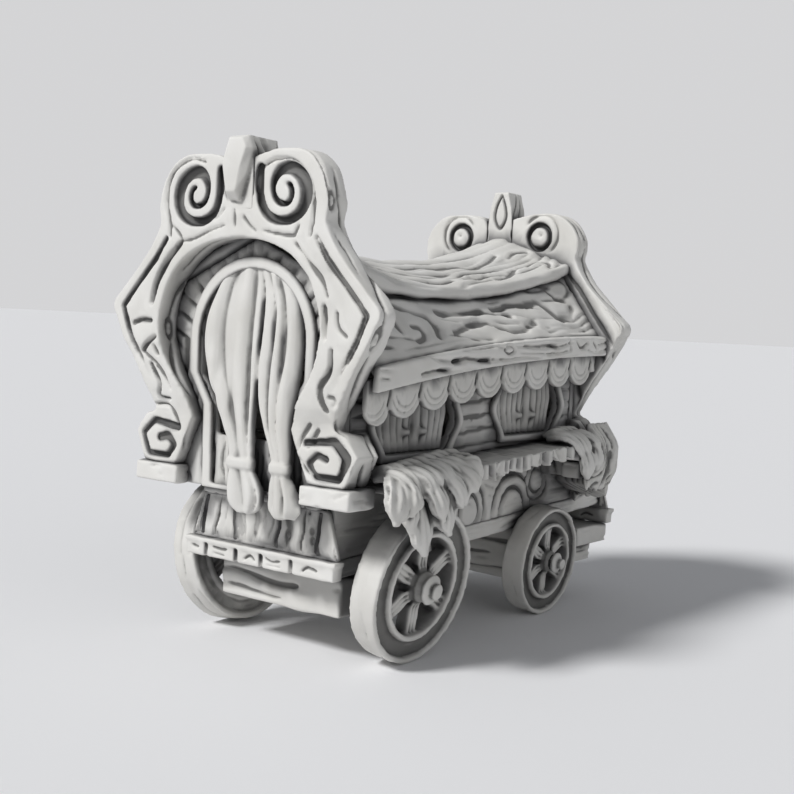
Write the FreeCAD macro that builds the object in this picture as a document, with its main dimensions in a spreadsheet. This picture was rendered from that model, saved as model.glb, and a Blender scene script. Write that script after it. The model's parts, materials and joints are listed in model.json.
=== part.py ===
import FreeCAD, Part
import math
import os

# A carved vardo wagon as a resin tabletop miniature, in millimetres. +X is the wagon's
# right side, the door end with the tall wheels faces -Y, +Z is up, and the origin lies on
# the ground under the middle of the wagon.

doc = FreeCAD.newDocument("vardo_wagon")
vector = FreeCAD.Vector

# Driving dimensions
SIZES = {
    "cabin_length": 101.2,
    "porch_length": 27.0,
    "arch_depth": 5.8,
    "arch_half_width": 36.2,
    "shoulder_height": 71.3,
    "foot_setback": 2.6,
    "foot_depth": 7.2,
    "scroll_height": 93.4,
    "scroll_offset": 11.9,
    "near_scroll_top": 102.0,
    "far_scroll_top": 99.3,
    "opening_height": 85.2,
    "keystone_top": 105.0,
    "keystone_width": 7.4,
    "keystone_proud": 2.0,
    "plinth_bottom": 34.2,
    "plinth_thickness": 4.0,
    "wall_thickness": 2.0,
    "wall_half_width": 24.4,
    "floor_height": 34.2,
    "floor_thickness": 2.0,
    "door_half_width": 14.7,
    "door_top": 79.4,
    "door_band": 2.5,
    "door_board_top": 45.2,
    "eave_half_width": 30.6,
    "eave_start": 60.6,
    "eave_rise": 8.7,
    "fascia_height": 4.8,
    "fascia_thickness": 2.0,
    "roof_thickness": 2.4,
    "ridge_height": 84.0,
    "ridge_rise_near": 10.1,
    "ridge_rise_far": 11.5,
    "knee_height": 75.0,
    "knee_rise_near": 7.2,
    "knee_rise_far": 10.4,
    "carving_depth": 0.8,
    "cap_half_width": 20.0,
    "cap_edge": 3.0,
    "valance_drop": 11.9,
    "ledge_half_width": 34.6,
    "ledge_start": 37.4,
    "ledge_rise": 6.6,
    "ledge_thickness": 1.8,
    "fringe_height": 3.0,
    "window_half_length": 14.6,
    "window_height": 16.0,
    "body_half_width": 17.8,
    "sill_start": 17.4,
    "sill_rise": 6.2,
    "sill_height": 3.8,
    "skirt_setback": 10.5,
    "block_half_width": 21.0,
    "block_bottom": 18.5,
    "block_height": 3.9,
    "large_radius": 16.4,
    "small_radius": 13.25,
    "large_width": 6.4,
    "small_width": 5.9,
    "large_camber": 9.07,
    "small_camber": 4.33,
    "large_face": 28.5,
    "small_face": 23.8,
    "large_place": 29.3,
    "small_place": 89.4,
    "hub_reach": 3.6,
    "pin_radius": 1.5,
    "pin_clearance": 0.05,
    "running_gap": 0.3,
    "axle_half_width": 16.7,
    "near_axle_length": 26.0,
    "near_axle_bottom": 9.3,
    "near_axle_top": 17.8,
    "far_axle_length": 8.4,
    "far_axle_bottom": 8.0,
    "far_axle_top": 21.2,
    "saddle_top": 20.4,
    "fur_thickness": 2.3,
}

sheet = doc.addObject("Spreadsheet::Sheet", "sheet")
for row, (alias, value) in enumerate(SIZES.items(), start=1):
    sheet.set(f"A{row}", alias)
    sheet.set(f"B{row}", str(value))
    sheet.setAlias(f"B{row}", alias)
doc.recompute()


def size(alias):
    return float(sheet.get(alias))


# The cabin stands between the near and the far arch face, the porch runs on past the far one.
near_face = (size("keystone_proud") - size("cabin_length") - size("porch_length")) / 2
far_face = near_face + size("cabin_length")
porch_end = far_face + size("porch_length")
NEAR = "((sheet.keystone_proud - sheet.cabin_length - sheet.porch_length) / 2)"
FAR = "((sheet.keystone_proud + sheet.cabin_length - sheet.porch_length) / 2)"

cabin_length = size("cabin_length")
arch_depth = size("arch_depth")
arch_half = size("arch_half_width")
shoulder = size("shoulder_height")
setback = size("foot_setback")
scroll_z = size("scroll_height")
scroll_x = size("scroll_offset")
key_half = size("keystone_width") / 2
near_lobe = size("near_scroll_top") - scroll_z
wall_half = size("wall_half_width")
lower_half = size("body_half_width")
wall_thick = size("wall_thickness")
floor_z = size("floor_height")
plinth_top = size("plinth_bottom") + size("plinth_thickness")
door_half = size("door_half_width")
door_top = size("door_top")
door_band = size("door_band")
eave_half = size("eave_half_width")
roof_thick = size("roof_thickness")
cap_half = size("cap_half_width")
gap = size("running_gap")
saddle_top = size("saddle_top")
near_wall = near_face + arch_depth
far_wall = far_face - arch_depth

parts = []


# Helpers for bodies, sketches and slabs

def new_body(label):
    body = doc.addObject("PartDesign::Body", label)
    body.Label = label
    body.Placement = FreeCAD.Placement()
    parts.append(body)
    return body


def new_sketch(body, role, offset):
    plane = [item for item in body.Origin.OriginFeatures if item.Role == role][0]
    sketch = body.newObject("Sketcher::SketchObject", body.Name + "_sketch")
    sketch.AttachmentSupport = [(plane, "")]
    sketch.MapMode = "FlatFace"
    sketch.setExpression(".AttachmentOffset.Base.z", offset)
    return sketch


def draw(sketch, start, *steps):
    """A closed outline: a step is a point, an arc (middle, end) or a curve (name, points)."""
    here = vector(start[0], start[1], 0)
    for step in list(steps) + [start]:
        if step[0] == "curve":
            points = [here] + [vector(p[0], p[1], 0) for p in step[1]]
            spline = Part.BSplineCurve()
            spline.interpolate(points)
            sketch.addGeometry(spline, False)
            here = points[-1]
        elif step[0] == "arc":
            end = vector(step[2][0], step[2][1], 0)
            sketch.addGeometry(Part.Arc(here, vector(step[1][0], step[1][1], 0), end), False)
            here = end
        else:
            end = vector(step[0], step[1], 0)
            if end.distanceToPoint(here) > 1e-6:
                sketch.addGeometry(Part.LineSegment(here, end), False)
            here = end


def circle(sketch, x, y, radius):
    sketch.addGeometry(Part.Circle(vector(x, y, 0), vector(0, 0, 1), radius), False)


def pad(body, sketch, length):
    feature = body.newObject("PartDesign::Pad", body.Name + "_pad")
    feature.Profile = sketch
    feature.setExpression("Length", length)
    return feature


def pocket(body, sketch, length, reverse=False):
    feature = body.newObject("PartDesign::Pocket", body.Name + "_pocket")
    feature.Profile = sketch
    feature.setExpression("Length", length)
    feature.Reversed = reverse
    return feature


def slab_y(body, outlines, low, high):
    """A slab between the planes y = low and y = high, outlines drawn in x and z."""
    sketch = new_sketch(body, "XZ_Plane", f"-({high})")
    for outline in outlines:
        outline(sketch)
    return pad(body, sketch, f"({high}) - ({low})")


def slab_x(body, outlines, low, high):
    """A slab between the planes x = low and x = high, outlines drawn in y and z."""
    sketch = new_sketch(body, "YZ_Plane", low)
    for outline in outlines:
        outline(sketch)
    return pad(body, sketch, f"({high}) - ({low})")


def slab_z(body, outlines, low, high):
    """A slab between the heights low and high, outlines drawn in x and y."""
    sketch = new_sketch(body, "XY_Plane", low)
    for outline in outlines:
        outline(sketch)
    return pad(body, sketch, f"({high}) - ({low})")


def cut_y(body, outlines, low, high):
    sketch = new_sketch(body, "XZ_Plane", f"-({high})")
    for outline in outlines:
        outline(sketch)
    return pocket(body, sketch, f"({high}) - ({low})", reverse=True)


def loft(body, sketches, ruled=False):
    feature = body.newObject("PartDesign::AdditiveLoft", body.Name + "_loft")
    feature.Profile = sketches[0]
    feature.Sections = sketches[1:]
    feature.Ruled = ruled
    return feature


def band(path, width):
    """Outline of a band of even width along a path of points."""
    edges = []
    for sign in (1, -1):
        edge = []
        for i, (u, v) in enumerate(path):
            before = path[max(i - 1, 0)]
            after = path[min(i + 1, len(path) - 1)]
            ahead = math.atan2(after[1] - v, after[0] - u) if after != (u, v) else None
            back = math.atan2(v - before[1], u - before[0]) if before != (u, v) else ahead
            ahead = back if ahead is None else ahead
            turn = (ahead - back + math.pi) % (2 * math.pi) - math.pi
            middle = back + turn / 2
            reach = sign * width / 2 / math.cos(turn / 2)
            edge.append((u - math.sin(middle) * reach, v + math.cos(middle) * reach))
        edges.append(edge)
    return edges[0] + edges[1][::-1]


def ring_at(x, z, outer, inner):
    def outline(sketch):
        circle(sketch, x, z, outer)
        circle(sketch, x, z, inner)
    return outline


def scroll_groove(x, z, grow, hand):
    """Outline of the groove that comes down beside the keystone, passes under the scroll and winds in to its eye.

    Each row is a place on the groove's middle line, measured from the scroll's centre, and the width there.
    """
    rows = [(-6.9, 5.4, 1.5), (-7.0, 2.4, 1.8), (-6.6, -1.4, 1.8), (-5.1, -4.1, 1.8), (-2.5, -5.4, 1.6),
            (0.4, -5.5, 1.6), (2.9, -4.6, 2.0), (4.6, -2.6, 2.5), (4.9, 0.0, 2.8), (3.9, 2.4, 2.8),
            (1.6, 4.1, 2.5), (-1.0, 4.4, 2.3), (-2.9, 2.9, 1.8), (-3.5, 0.6, 1.1), (-2.8, -1.4, 0.9),
            (-1.0, -2.4, 0.9), (0.9, -2.0, 0.9), (1.4, -0.2, 1.0), (0.6, 1.2, 1.0), (-0.6, 1.1, 0.9)]
    outer, inner = [], []
    for i, (u, v, width) in enumerate(rows):
        back, ahead = rows[max(i - 1, 0)], rows[min(i + 1, len(rows) - 1)]
        run_u, run_v = ahead[0] - back[0], ahead[1] - back[1]
        share = width / 2 / math.hypot(run_u, run_v)
        for edge, sign in ((outer, 1), (inner, -1)):
            edge.append((x + hand * grow * (u + sign * share * run_v), z + grow * (v - sign * share * run_u)))

    def outline(sketch):
        draw(sketch, outer[0], ("curve", outer[1:]), inner[-1], ("curve", inner[::-1][1:]))
    return outline


def rectangle(low_u, low_v, high_u, high_v):
    def outline(sketch):
        draw(sketch, (low_u, low_v), (high_u, low_v), (high_u, high_v), (low_u, high_v))
    return outline


def flip(points, sign):
    return [(sign * x, z) for x, z in points]


def span(end, near, far):
    """The two y planes of a slab given by its distances inward from an end's arch face."""
    if end < 0:
        return f"{NEAR} + {near}", f"{NEAR} + {far}"
    return f"{FAR} - ({far})", f"{FAR} - ({near})"


def face_of(end):
    return near_face if end < 0 else far_face


def seen_from(end, x, inward):
    """A place in plan given as seen by someone who stands before that end of the cabin."""
    return -end * x, face_of(end) - end * inward


def climb(y):
    """Share of a board's rise reached at y: steep behind the near arch, nearly level at the far one."""
    along = (y - near_face) / cabin_length
    return 1.92 * along - 0.92 * along * along


def eave_top(y):
    return size("eave_start") + size("eave_rise") * climb(y)


def ledge_top(y):
    return size("ledge_start") + size("ledge_rise") * climb(y)


def sill_bottom(y):
    return size("sill_start") + size("sill_rise") * (y - near_face) / (porch_end - near_face)


def sag(y, word, lowest_share):
    """Height of a line that sags to its lowest at that share of the cabin's length."""
    along = (y - near_face) / cabin_length
    if along > lowest_share:
        out = (along - lowest_share) / (1 - lowest_share)
        return size(f"{word}_height") + size(f"{word}_rise_far") * out * out
    out = (lowest_share - along) / lowest_share
    return size(f"{word}_height") + size(f"{word}_rise_near") * out * out


def ridge_height(y):
    return sag(y, "ridge", 0.425)


def knee_height(y):
    """Height of the roof panels' top face under the cap's drooping edge."""
    return sag(y, "knee", 0.32)


def side_curve(height, low, high, count=4):
    step = (high - low) / count
    return [(low + step * i, height(low + step * i)) for i in range(count + 1)]


# The carved arches at both ends

def sole_points():
    """Outer corners of the six-sided foot, from the ankle round to the inner side."""
    foot = plinth_top
    return [(27.3, foot + 10.3), (30.5, foot + 6.3), (27.6, foot), (18.3, foot), (14.7, foot + 7.3),
            (13.6, foot + 10.2)]


def arch_outline(sketch, top):
    """Outside of the scrolls, shoulders and legs, then back along the horseshoe opening."""
    seat = scroll_z - 3.0
    foot = plinth_top
    lobe = top - scroll_z
    crest = (scroll_x + 2.0, top)
    out = [(scroll_x + 7.4, scroll_z + lobe * 0.75), (scroll_x + 10.7, scroll_z + 0.4),
           (scroll_x + 10.5, scroll_z - 5.2)]
    right = [(arch_half * 0.70, shoulder + 11.8), (arch_half * 0.86, shoulder + 5.6)]
    tip_top = (arch_half * 0.985, shoulder + 1.2)
    tip = (arch_half, shoulder)
    tip_low = (arch_half * 0.98, shoulder - 2.2)
    leg = [(arch_half * 0.926, shoulder - 6.0), (arch_half * 0.76, foot + 17.1), (arch_half * 0.677, foot + 11.1)]
    sole = sole_points()
    crown = size("opening_height")
    inner = [(15.6, foot + 14.8), (18.7, foot + 19.4), (21.2, foot + 24.2), (22.1, foot + 28.6),
             (21.4, foot + 33.4), (19.4, foot + 38.2), (15.8, crown - 4.6), (9.6, crown - 1.5)]
    brow = (key_half + 3.4, top - 0.3)
    draw(
        sketch,
        (key_half, seat),
        (key_half, top - 1.2),
        ("arc", brow, crest),
        ("curve", out),
        ("curve", right + [tip_top]),
        ("arc", tip, tip_low),
        ("curve", leg),
        *sole,
        ("curve", inner + [(0.0, crown)] + flip(inner, -1)[::-1] + [(-sole[-1][0], sole[-1][1])]),
        *flip(sole, -1)[::-1][1:],
        (-leg[-1][0], leg[-1][1]),
        ("curve", flip(leg, -1)[::-1][1:] + [(-tip_low[0], tip_low[1])]),
        ("arc", (-tip[0], tip[1]), (-tip_top[0], tip_top[1])),
        ("curve", flip(right, -1)[::-1] + [(-out[-1][0], out[-1][1])]),
        ("curve", flip(out, -1)[::-1][1:] + [(-crest[0], crest[1])]),
        ("arc", (-brow[0], brow[1]), (-key_half, top - 1.2)),
        (-key_half, seat),
    )


def make_arch(end, label):
    body = new_body(label)
    top = size("near_scroll_top") if end < 0 else size("far_scroll_top")
    slab_y(body, [lambda sketch: arch_outline(sketch, top)], *span(end, "0", "sheet.arch_depth"))
    # the lower legs step back behind the face
    face = face_of(end)
    inward = -end
    wedge = new_sketch(body, "YZ_Plane", "-sheet.arch_half_width - 1")
    draw(
        wedge,
        (face - inward * 1.0, plinth_top - 1.0),
        (face + inward * setback, plinth_top - 1.0),
        (face + inward * setback, plinth_top + 10.6),
        (face, shoulder - 8.0),
        (face - inward * 1.0, shoulder - 8.0),
    )
    pocket(body, wedge, "2 * sheet.arch_half_width + 2", reverse=True)
    # the feet reach further in than the arch
    sole = sole_points()

    def foot_outline(side):
        def outline(sketch):
            points = flip(sole[:3] + [(wall_half, sole[2][1]), (wall_half, sole[0][1])], side)
            draw(sketch, *points)
        return outline
    slab_y(body, [foot_outline(1), foot_outline(-1)],
           *span(end, "sheet.arch_depth", "sheet.foot_setback + sheet.foot_depth"))
    # scrolls wound into the face, and a sunk ring round a flat disc on the back
    lobe = top - scroll_z
    eye_z = scroll_z + 0.06 * lobe
    scrolls = [scroll_groove(side * (scroll_x + 0.4), eye_z, lobe / near_lobe, side) for side in (1, -1)]
    cut_y(body, scrolls, *span(end, "-0.5", "1.8"))
    rings = [ring_at(side * scroll_x, scroll_z, lobe * 0.62, lobe * 0.43) for side in (1, -1)]
    cut_y(body, rings, *span(end, "sheet.arch_depth - 1.5", "sheet.arch_depth + 0.5"))
    # a groove follows the outer edge from the scroll to the ankle, and a squared curl fills each foot
    rim = [(scroll_x + 8.2, scroll_z - 8.0), (arch_half * 0.64, shoulder + 10.0),
           (arch_half * 0.79, shoulder + 4.4), (arch_half * 0.915, shoulder - 0.4),
           (arch_half * 0.855, shoulder - 5.6), (arch_half * 0.70, shoulder - 15.0)]
    curl = [(16.8, sole[4][1] + 0.6), (24.8, sole[4][1] + 1.6), (28.2, sole[1][1] - 0.4), (26.2, sole[2][1] + 1.8),
            (20.4, sole[2][1] + 1.8), (18.6, sole[2][1] + 4.2), (20.6, sole[2][1] + 6.0), (23.6, sole[2][1] + 5.2)]
    for path, width, depth in ((rim, 1.1, "1.3"), (curl, 1.2, "sheet.foot_setback + 1.2")):
        outlines = []
        for side in (1, -1):
            outlines.append(lambda sketch, side=side: draw(sketch, *flip(band(path, width), side)))
        cut_y(body, outlines, *span(end, "-0.5", depth))
    return body


def make_keystone(end, label):
    """The stone between the scrolls, with a faceted gem on its face."""
    body = new_body(label)
    seat = scroll_z - 3.0
    top = size("keystone_top")

    def outline(sketch):
        draw(sketch, (key_half, seat), (key_half, top - 3.8), (key_half * 0.74, top), (-key_half * 0.74, top),
             (-key_half, top - 3.8), (-key_half, seat))
    slab_y(body, [outline], *span(end, "-0.4 * sheet.keystone_proud", "sheet.arch_depth"))
    outward = FAR if end > 0 else NEAR
    sketches = []
    for share, grow, shift in ((0.4, 1.0, 0.0), (1.0, 0.42, 0.18)):
        sketch = new_sketch(body, "XZ_Plane", f"-({outward} + {end} * {share} * sheet.keystone_proud)")
        middle = (seat + top) / 2 + shift * key_half
        tall = (top - seat) / 2 * (0.58 + 0.36 * grow)
        wide = key_half * grow
        left = end * shift * key_half
        draw(sketch, (left + wide, middle + tall * 0.5), (left + wide * 0.5, middle + tall),
             (left - wide * 0.5, middle + tall), (left - wide, middle + tall * 0.5),
             (left - wide, middle - tall * 0.55), (left, middle - tall), (left + wide, middle - tall * 0.55))
        sketches.append(sketch)
    loft(body, sketches, ruled=True)
    return body


def make_plinths(end, label):
    """One block under each leg, running back beside the cabin's corner."""
    body = new_body(label)
    face = face_of(end)
    front = face - end * (setback - 0.7)
    wall = face - end * arch_depth
    back = face - end * (setback + size("foot_depth") + 0.5)

    def outline(side):
        def shape(sketch):
            draw(sketch, (side * 16.9, front), (side * 29.5, front), (side * 29.5, back),
                 (side * wall_half, back), (side * wall_half, wall), (side * 16.9, wall))
        return shape
    slab_z(body, [outline(1), outline(-1)], "sheet.plinth_bottom", "sheet.plinth_bottom + sheet.plinth_thickness")
    return body


# The cabin

def doorway(sketch, grow, bottom):
    """The keyhole of the door: round head, narrower foot; grow moves every edge outwards."""
    half = door_half + grow
    waist = door_half - 4.4 + grow
    step = door_top - 23.0
    centre = door_top - door_half
    draw(
        sketch,
        (-waist + 0.6, bottom),
        (waist - 0.6, bottom),
        (waist, step - 5.0),
        (half, step + 1.4),
        (half, centre),
        ("arc", (0.0, centre + half), (-half, centre)),
        (-half, step + 1.4),
        (-waist, step - 5.0),
    )


def make_end_wall(end, label):
    """The wall inside an arch, its doorway closed by a low board."""
    body = new_body(label)
    low, high = span(end, "sheet.arch_depth", "sheet.arch_depth + sheet.wall_thickness")
    lowest = near_wall + wall_thick if end < 0 else far_wall - wall_thick
    eave = roof_underside(wall_half, lowest)
    knee = roof_underside(cap_half, lowest)
    peak = roof_underside(0.0, lowest)

    def outline(sketch):
        draw(sketch, (-wall_half, floor_z), (-wall_half, eave), (-cap_half, knee), (0, peak), (cap_half, knee),
             (wall_half, eave), (wall_half, floor_z))
    slab_y(body, [outline], low, high)
    cut_y(body, [lambda sketch: doorway(sketch, 0.0, size("door_board_top"))], low, high)
    return body


def make_door_frame(end, label):
    body = new_body(label)
    slab_y(
        body,
        [lambda sketch: doorway(sketch, door_band, floor_z),
         lambda sketch: doorway(sketch, 0.0, floor_z + 1.0)],
        *span(end, "sheet.arch_depth - 1.2", "sheet.arch_depth"),
    )
    return body


def hang_pleats(body, rows, folds, place):
    """A pleated cloth: one zigzag section for each row of height, two edges, front and pleat depth."""
    sketches = []
    for height, low, high, front, depth in rows:
        sketch = new_sketch(body, "XY_Plane", str(height))
        pleats = []
        for i in range(2 * folds + 1):
            share = i / (2 * folds)
            pleats.append(place(low + (high - low) * share, front + depth * (i % 2)))
        back = front + 1.7
        draw(sketch, *pleats, place(high, back), place(low, back))
        sketches.append(sketch)
    loft(body, sketches, ruled=True)


def make_curtains(end, label):
    """A wide and a narrow pleated curtain, tied low down, that swing out over the frame and the threshold."""
    body = new_body(label)
    tie = floor_z + 6.2
    drop = 9.8 if end < 0 else 5.9
    # rows: height, the cloth's two edges, how far its front stands in from the arch face, pleat depth
    wide = [(door_top - 1.6, -5.4, -0.4, 5.0, 0.2), (door_top - 7.0, -11.4, 2.8, 4.7, 0.9),
            (door_top - 15.0, -12.7, 3.1, 4.4, 1.1), (door_top - 21.0, -10.2, 3.2, 2.6, 1.0),
            (door_top - 28.0, -6.6, 2.9, 2.5, 0.8), (tie + 1.6, -2.4, 3.4, 2.2, 0.4),
            (tie - 0.4, -2.2, 3.6, 2.0, 0.4), (tie - drop * 0.55, -2.6, 6.2, 2.2, 1.0), (tie - drop, -0.6, 4.8, 2.4, 0.9)]
    narrow = [(door_top - 2.4, 2.2, 7.6, 5.0, 0.2), (door_top - 7.0, 3.4, 11.8, 4.7, 0.9),
              (door_top - 15.0, 3.8, 13.9, 4.4, 1.1), (door_top - 21.0, 3.9, 13.8, 2.6, 1.0),
              (door_top - 28.0, 4.6, 13.0, 2.5, 0.8), (tie + 1.6, 9.2, 13.2, 2.2, 0.4),
              (tie - 0.4, 9.4, 13.4, 2.0, 0.4), (tie - drop * 0.55, 8.8, 16.2, 2.2, 1.0), (tie - drop, 10.2, 15.0, 2.4, 0.9)]
    for rows, folds in ((wide, 4), (narrow, 3)):
        hang_pleats(body, rows, folds, lambda x, inward: seen_from(end, x, inward))
    return body


def window_places():
    return [near_face + 0.283 * cabin_length, near_face + 0.717 * cabin_length]


def window_bottom(centre):
    return ledge_top(centre + size("window_half_length")) + 1.9


def window_outline(centre, grow):
    """The barrel shape of a window; grow moves every edge outwards."""
    bottom = window_bottom(centre)
    top = bottom + size("window_height")
    belly = size("window_half_length")
    bulge = [(belly * 0.90, bottom + 3.4), (belly, bottom + 6.2), (belly * 0.92, bottom + 9.0)]

    def outline(sketch):
        right = [(centre + u + grow, v) for u, v in bulge] + [(centre + belly * 0.84 + grow, bottom + 12.0)]
        left = [(centre - u - grow, v) for u, v in bulge[::-1]] + [(centre - belly * 0.74 - grow, bottom - grow)]
        draw(sketch, (centre + belly * 0.74 + grow, bottom - grow), ("curve", right),
             (centre + belly * 0.84 + grow, top + grow), (centre - belly * 0.84 - grow, top + grow),
             (centre - belly * 0.84 - grow, bottom + 12.0), ("curve", left))
    return outline


def side_pair(side, inner, outer):
    if side > 0:
        return inner, outer
    return f"-({outer})", f"-({inner})"


def make_side_wall(side, label):
    body = new_body(label)
    low, high = side_pair(side, "sheet.wall_half_width - sheet.wall_thickness", "sheet.wall_half_width")
    near = near_wall + wall_thick
    far = far_wall - wall_thick

    def outline(sketch):
        top = side_curve(lambda y: roof_underside(wall_half, y), near, far)
        foot = side_curve(ledge_top, near, far)
        draw(sketch, foot[0], ("curve", foot[1:]), top[-1], ("curve", top[::-1][1:]))
    slab_x(body, [outline] + [window_outline(y, 0.0) for y in window_places()], low, high)
    return body


def make_window_frames(side, label):
    body = new_body(label)
    low, high = side_pair(side, "sheet.wall_half_width", "sheet.wall_half_width + 1.4")
    rings = []
    for y in window_places():
        rings += [window_outline(y, 1.6), window_outline(y, 0.0)]
    slab_x(body, rings, low, high)
    return body


def make_window_curtains(side, label):
    """A pair of tied curtains in each window, their ends resting on the sill."""
    body = new_body(label)
    for centre in window_places():
        belly = size("window_half_length")
        bottom = window_bottom(centre)
        top = bottom + size("window_height")
        for hand in (-1, 1):
            rows = [(top - 0.3, 0.79, 0.03, 0.2, 0.7), (bottom + 8.0, 0.84, 0.05, 0.2, 0.7),
                    (bottom + 4.4, 0.78, 0.12, 0.2, 0.4), (bottom + 0.2, 0.72, 0.03, 0.2, 0.7)]
            scaled = [(z, centre + hand * belly * a, centre + hand * belly * b, f, d) for z, a, b, f, d in rows]
            hang_pleats(body, scaled, 4, lambda y, inward: (side * (wall_half - inward), y))
    return body


def make_floor(label):
    """The floor board, run on past the far arch as an open porch."""
    body = new_body(label)
    inner = lower_half - wall_thick
    start = near_face + size("skirt_setback") - 1.8
    slab_z(body, [rectangle(-inner, start, inner, porch_end - 1.6)],
           "sheet.floor_height - sheet.floor_thickness", "sheet.floor_height")
    return body


# The roof

def roof_section(y):
    """Heights of the roof panels' top face at the ridge, under the cap's edge and at the eave."""
    return ridge_height(y) - 2.6, knee_height(y), eave_top(y)


def roof_underside(x, y):
    crown, knee, eave = roof_section(y)
    if x < cap_half:
        top = crown + (knee - crown) * x / cap_half
    else:
        top = knee + (eave - knee) * (x - cap_half) / (eave_half - cap_half)
    return top - roof_thick - 0.1


def roof_stations():
    """Even steps from wall to wall: each one's y, and the same place written for a sketch."""
    steps = []
    for i in range(6):
        share = i / 5
        y = near_wall + (far_wall - near_wall) * share
        place = f"{NEAR} + sheet.arch_depth + {share} * (sheet.cabin_length - 2 * sheet.arch_depth)"
        steps.append((y, f"-({place})"))
    return steps


def roof_grooves():
    """Middle lines of the grooves carved in a roof panel, as shares of its slope and of the cabin's length."""
    return [
        [(0.10, 0.21), (0.24, 0.28), (0.34, 0.32), (0.53, 0.325), (0.77, 0.305)],
        [(0.24, 0.36), (0.27, 0.44), (0.24, 0.54)],
        [(0.68, 0.365), (0.55, 0.43), (0.45, 0.50), (0.60, 0.54), (0.77, 0.58), (0.75, 0.635), (0.60, 0.705)],
        [(0.24, 0.57), (0.18, 0.65), (0.25, 0.71), (0.23, 0.77), (0.42, 0.795), (0.64, 0.815), (0.60, 0.87),
         (0.43, 0.906)],
    ]


def groove_cutter(side, label):
    """A skin as deep as the carving, left only along the grooves."""
    cutter = doc.addObject("PartDesign::Body", label + "_cutter")
    depth = size("carving_depth") * 1.6
    sketches = []
    for y, offset in roof_stations():
        sketch = new_sketch(cutter, "XZ_Plane", offset)
        crown, knee, eave = roof_section(y)
        draw(sketch, (side * cap_half, knee - depth), (side * eave_half, eave - depth),
             (side * eave_half, eave + 1.0), (side * cap_half, knee + 1.0))
        sketches.append(sketch)
    loft(cutter, sketches)
    keep = new_sketch(cutter, "XY_Plane", "sheet.ridge_height + sheet.ridge_rise_far")
    rectangle(-2 * arch_half, near_face, 2 * arch_half, far_face)(keep)
    for path in roof_grooves():
        places = []
        for across, along in path:
            along = along if side > 0 else 1 - along
            places.append((side * (cap_half + across * (eave_half - cap_half)), near_face + along * cabin_length))
        draw(keep, *band(places, 1.7))
    pocket(cutter, keep, "sheet.ridge_height")
    return cutter


def make_roof_panel(side, label):
    body = new_body(label)
    sketches = []
    for y, offset in roof_stations():
        sketch = new_sketch(body, "XZ_Plane", offset)
        crown, knee, eave = roof_section(y)
        draw(
            sketch,
            (0.0, crown - roof_thick),
            (side * cap_half, knee - roof_thick),
            (side * eave_half, eave - roof_thick),
            (side * eave_half, eave),
            (side * cap_half, knee),
            (0.0, crown),
        )
        sketches.append(sketch)
    loft(body, sketches)
    carving = body.newObject("PartDesign::Boolean", body.Name + "_carving")
    carving.Type = "Cut"
    carving.setObjects([groove_cutter(side, label)])
    return body


def make_roof_cap(label):
    """The upper layer of the roof: a thick drooping edge, a roll along the ridge and two channels a side."""
    body = new_body(label)
    sketches = []
    lip = size("cap_edge")
    deep = size("carving_depth")
    for y, offset in roof_stations():
        sketch = new_sketch(body, "XZ_Plane", offset)
        ridge = ridge_height(y)
        crown, knee, eave = roof_section(y)
        shoulder_x = cap_half * 0.5
        shoulder_z = (ridge + knee) / 2 + 1.9
        edge_x = cap_half + 1.2
        edge_z = knee + lip

        def upper(x):
            return ridge - 0.2 + (shoulder_z - ridge + 0.2) * (x - 2.4) / (shoulder_x - 2.4)

        def lower(x):
            return shoulder_z + (edge_z - shoulder_z) * (x - shoulder_x) / (edge_x - shoulder_x)
        half = [(cap_half, knee), (cap_half + 1.6, knee + 0.2), (edge_x, edge_z), (14.2, lower(14.2)),
                (12.9, lower(12.9) - deep), (11.6, lower(11.6)), (shoulder_x, shoulder_z), (4.6, upper(4.6)),
                (3.6, upper(3.6) - deep), (2.4, ridge - 0.2)]
        draw(sketch, (0.0, crown), *half, (0.0, ridge), *flip(half, -1)[::-1])
        sketches.append(sketch)
    loft(body, sketches)
    return body


def make_fascia(side, label):
    body = new_body(label)
    low, high = side_pair(side, "sheet.eave_half_width", "sheet.eave_half_width + sheet.fascia_thickness")
    drop = size("fascia_height")

    def outline(sketch):
        top = side_curve(eave_top, near_wall, far_wall)
        bottom = [(y, z - drop) for y, z in top]
        draw(sketch, bottom[0], ("curve", bottom[1:]), top[-1], ("curve", top[::-1][1:]))
    slab_x(body, [outline], low, high)
    return body


def make_valance(side, label):
    body = new_body(label)
    low, high = side_pair(side, "sheet.eave_half_width - 2.2", "sheet.eave_half_width - 0.8")
    count = 9
    pitch = 0.0993 * cabin_length
    hang = size("valance_drop") - 3.0
    seams = [near_wall]
    for i in range(1, count + 1):
        seams.append(near_face + 0.0287 * cabin_length + pitch * i)

    def outline(sketch):
        top = [(y, z - roof_thick - 0.1) for y, z in side_curve(eave_top, near_wall, far_wall)]
        steps = []
        for start, end in zip(seams, seams[1:]):
            middle = (start + end) / 2
            steps.append(("arc", (middle, eave_top(middle) - size("valance_drop")), (end, eave_top(end) - hang)))
        draw(sketch, (near_wall, eave_top(near_wall) - hang), *steps, (far_wall, eave_top(far_wall) - hang), top[-1],
             ("curve", top[::-1][1:]))
    slab_x(body, [outline], low, high)
    return body


# Ledges, thatch and the lower body

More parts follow.
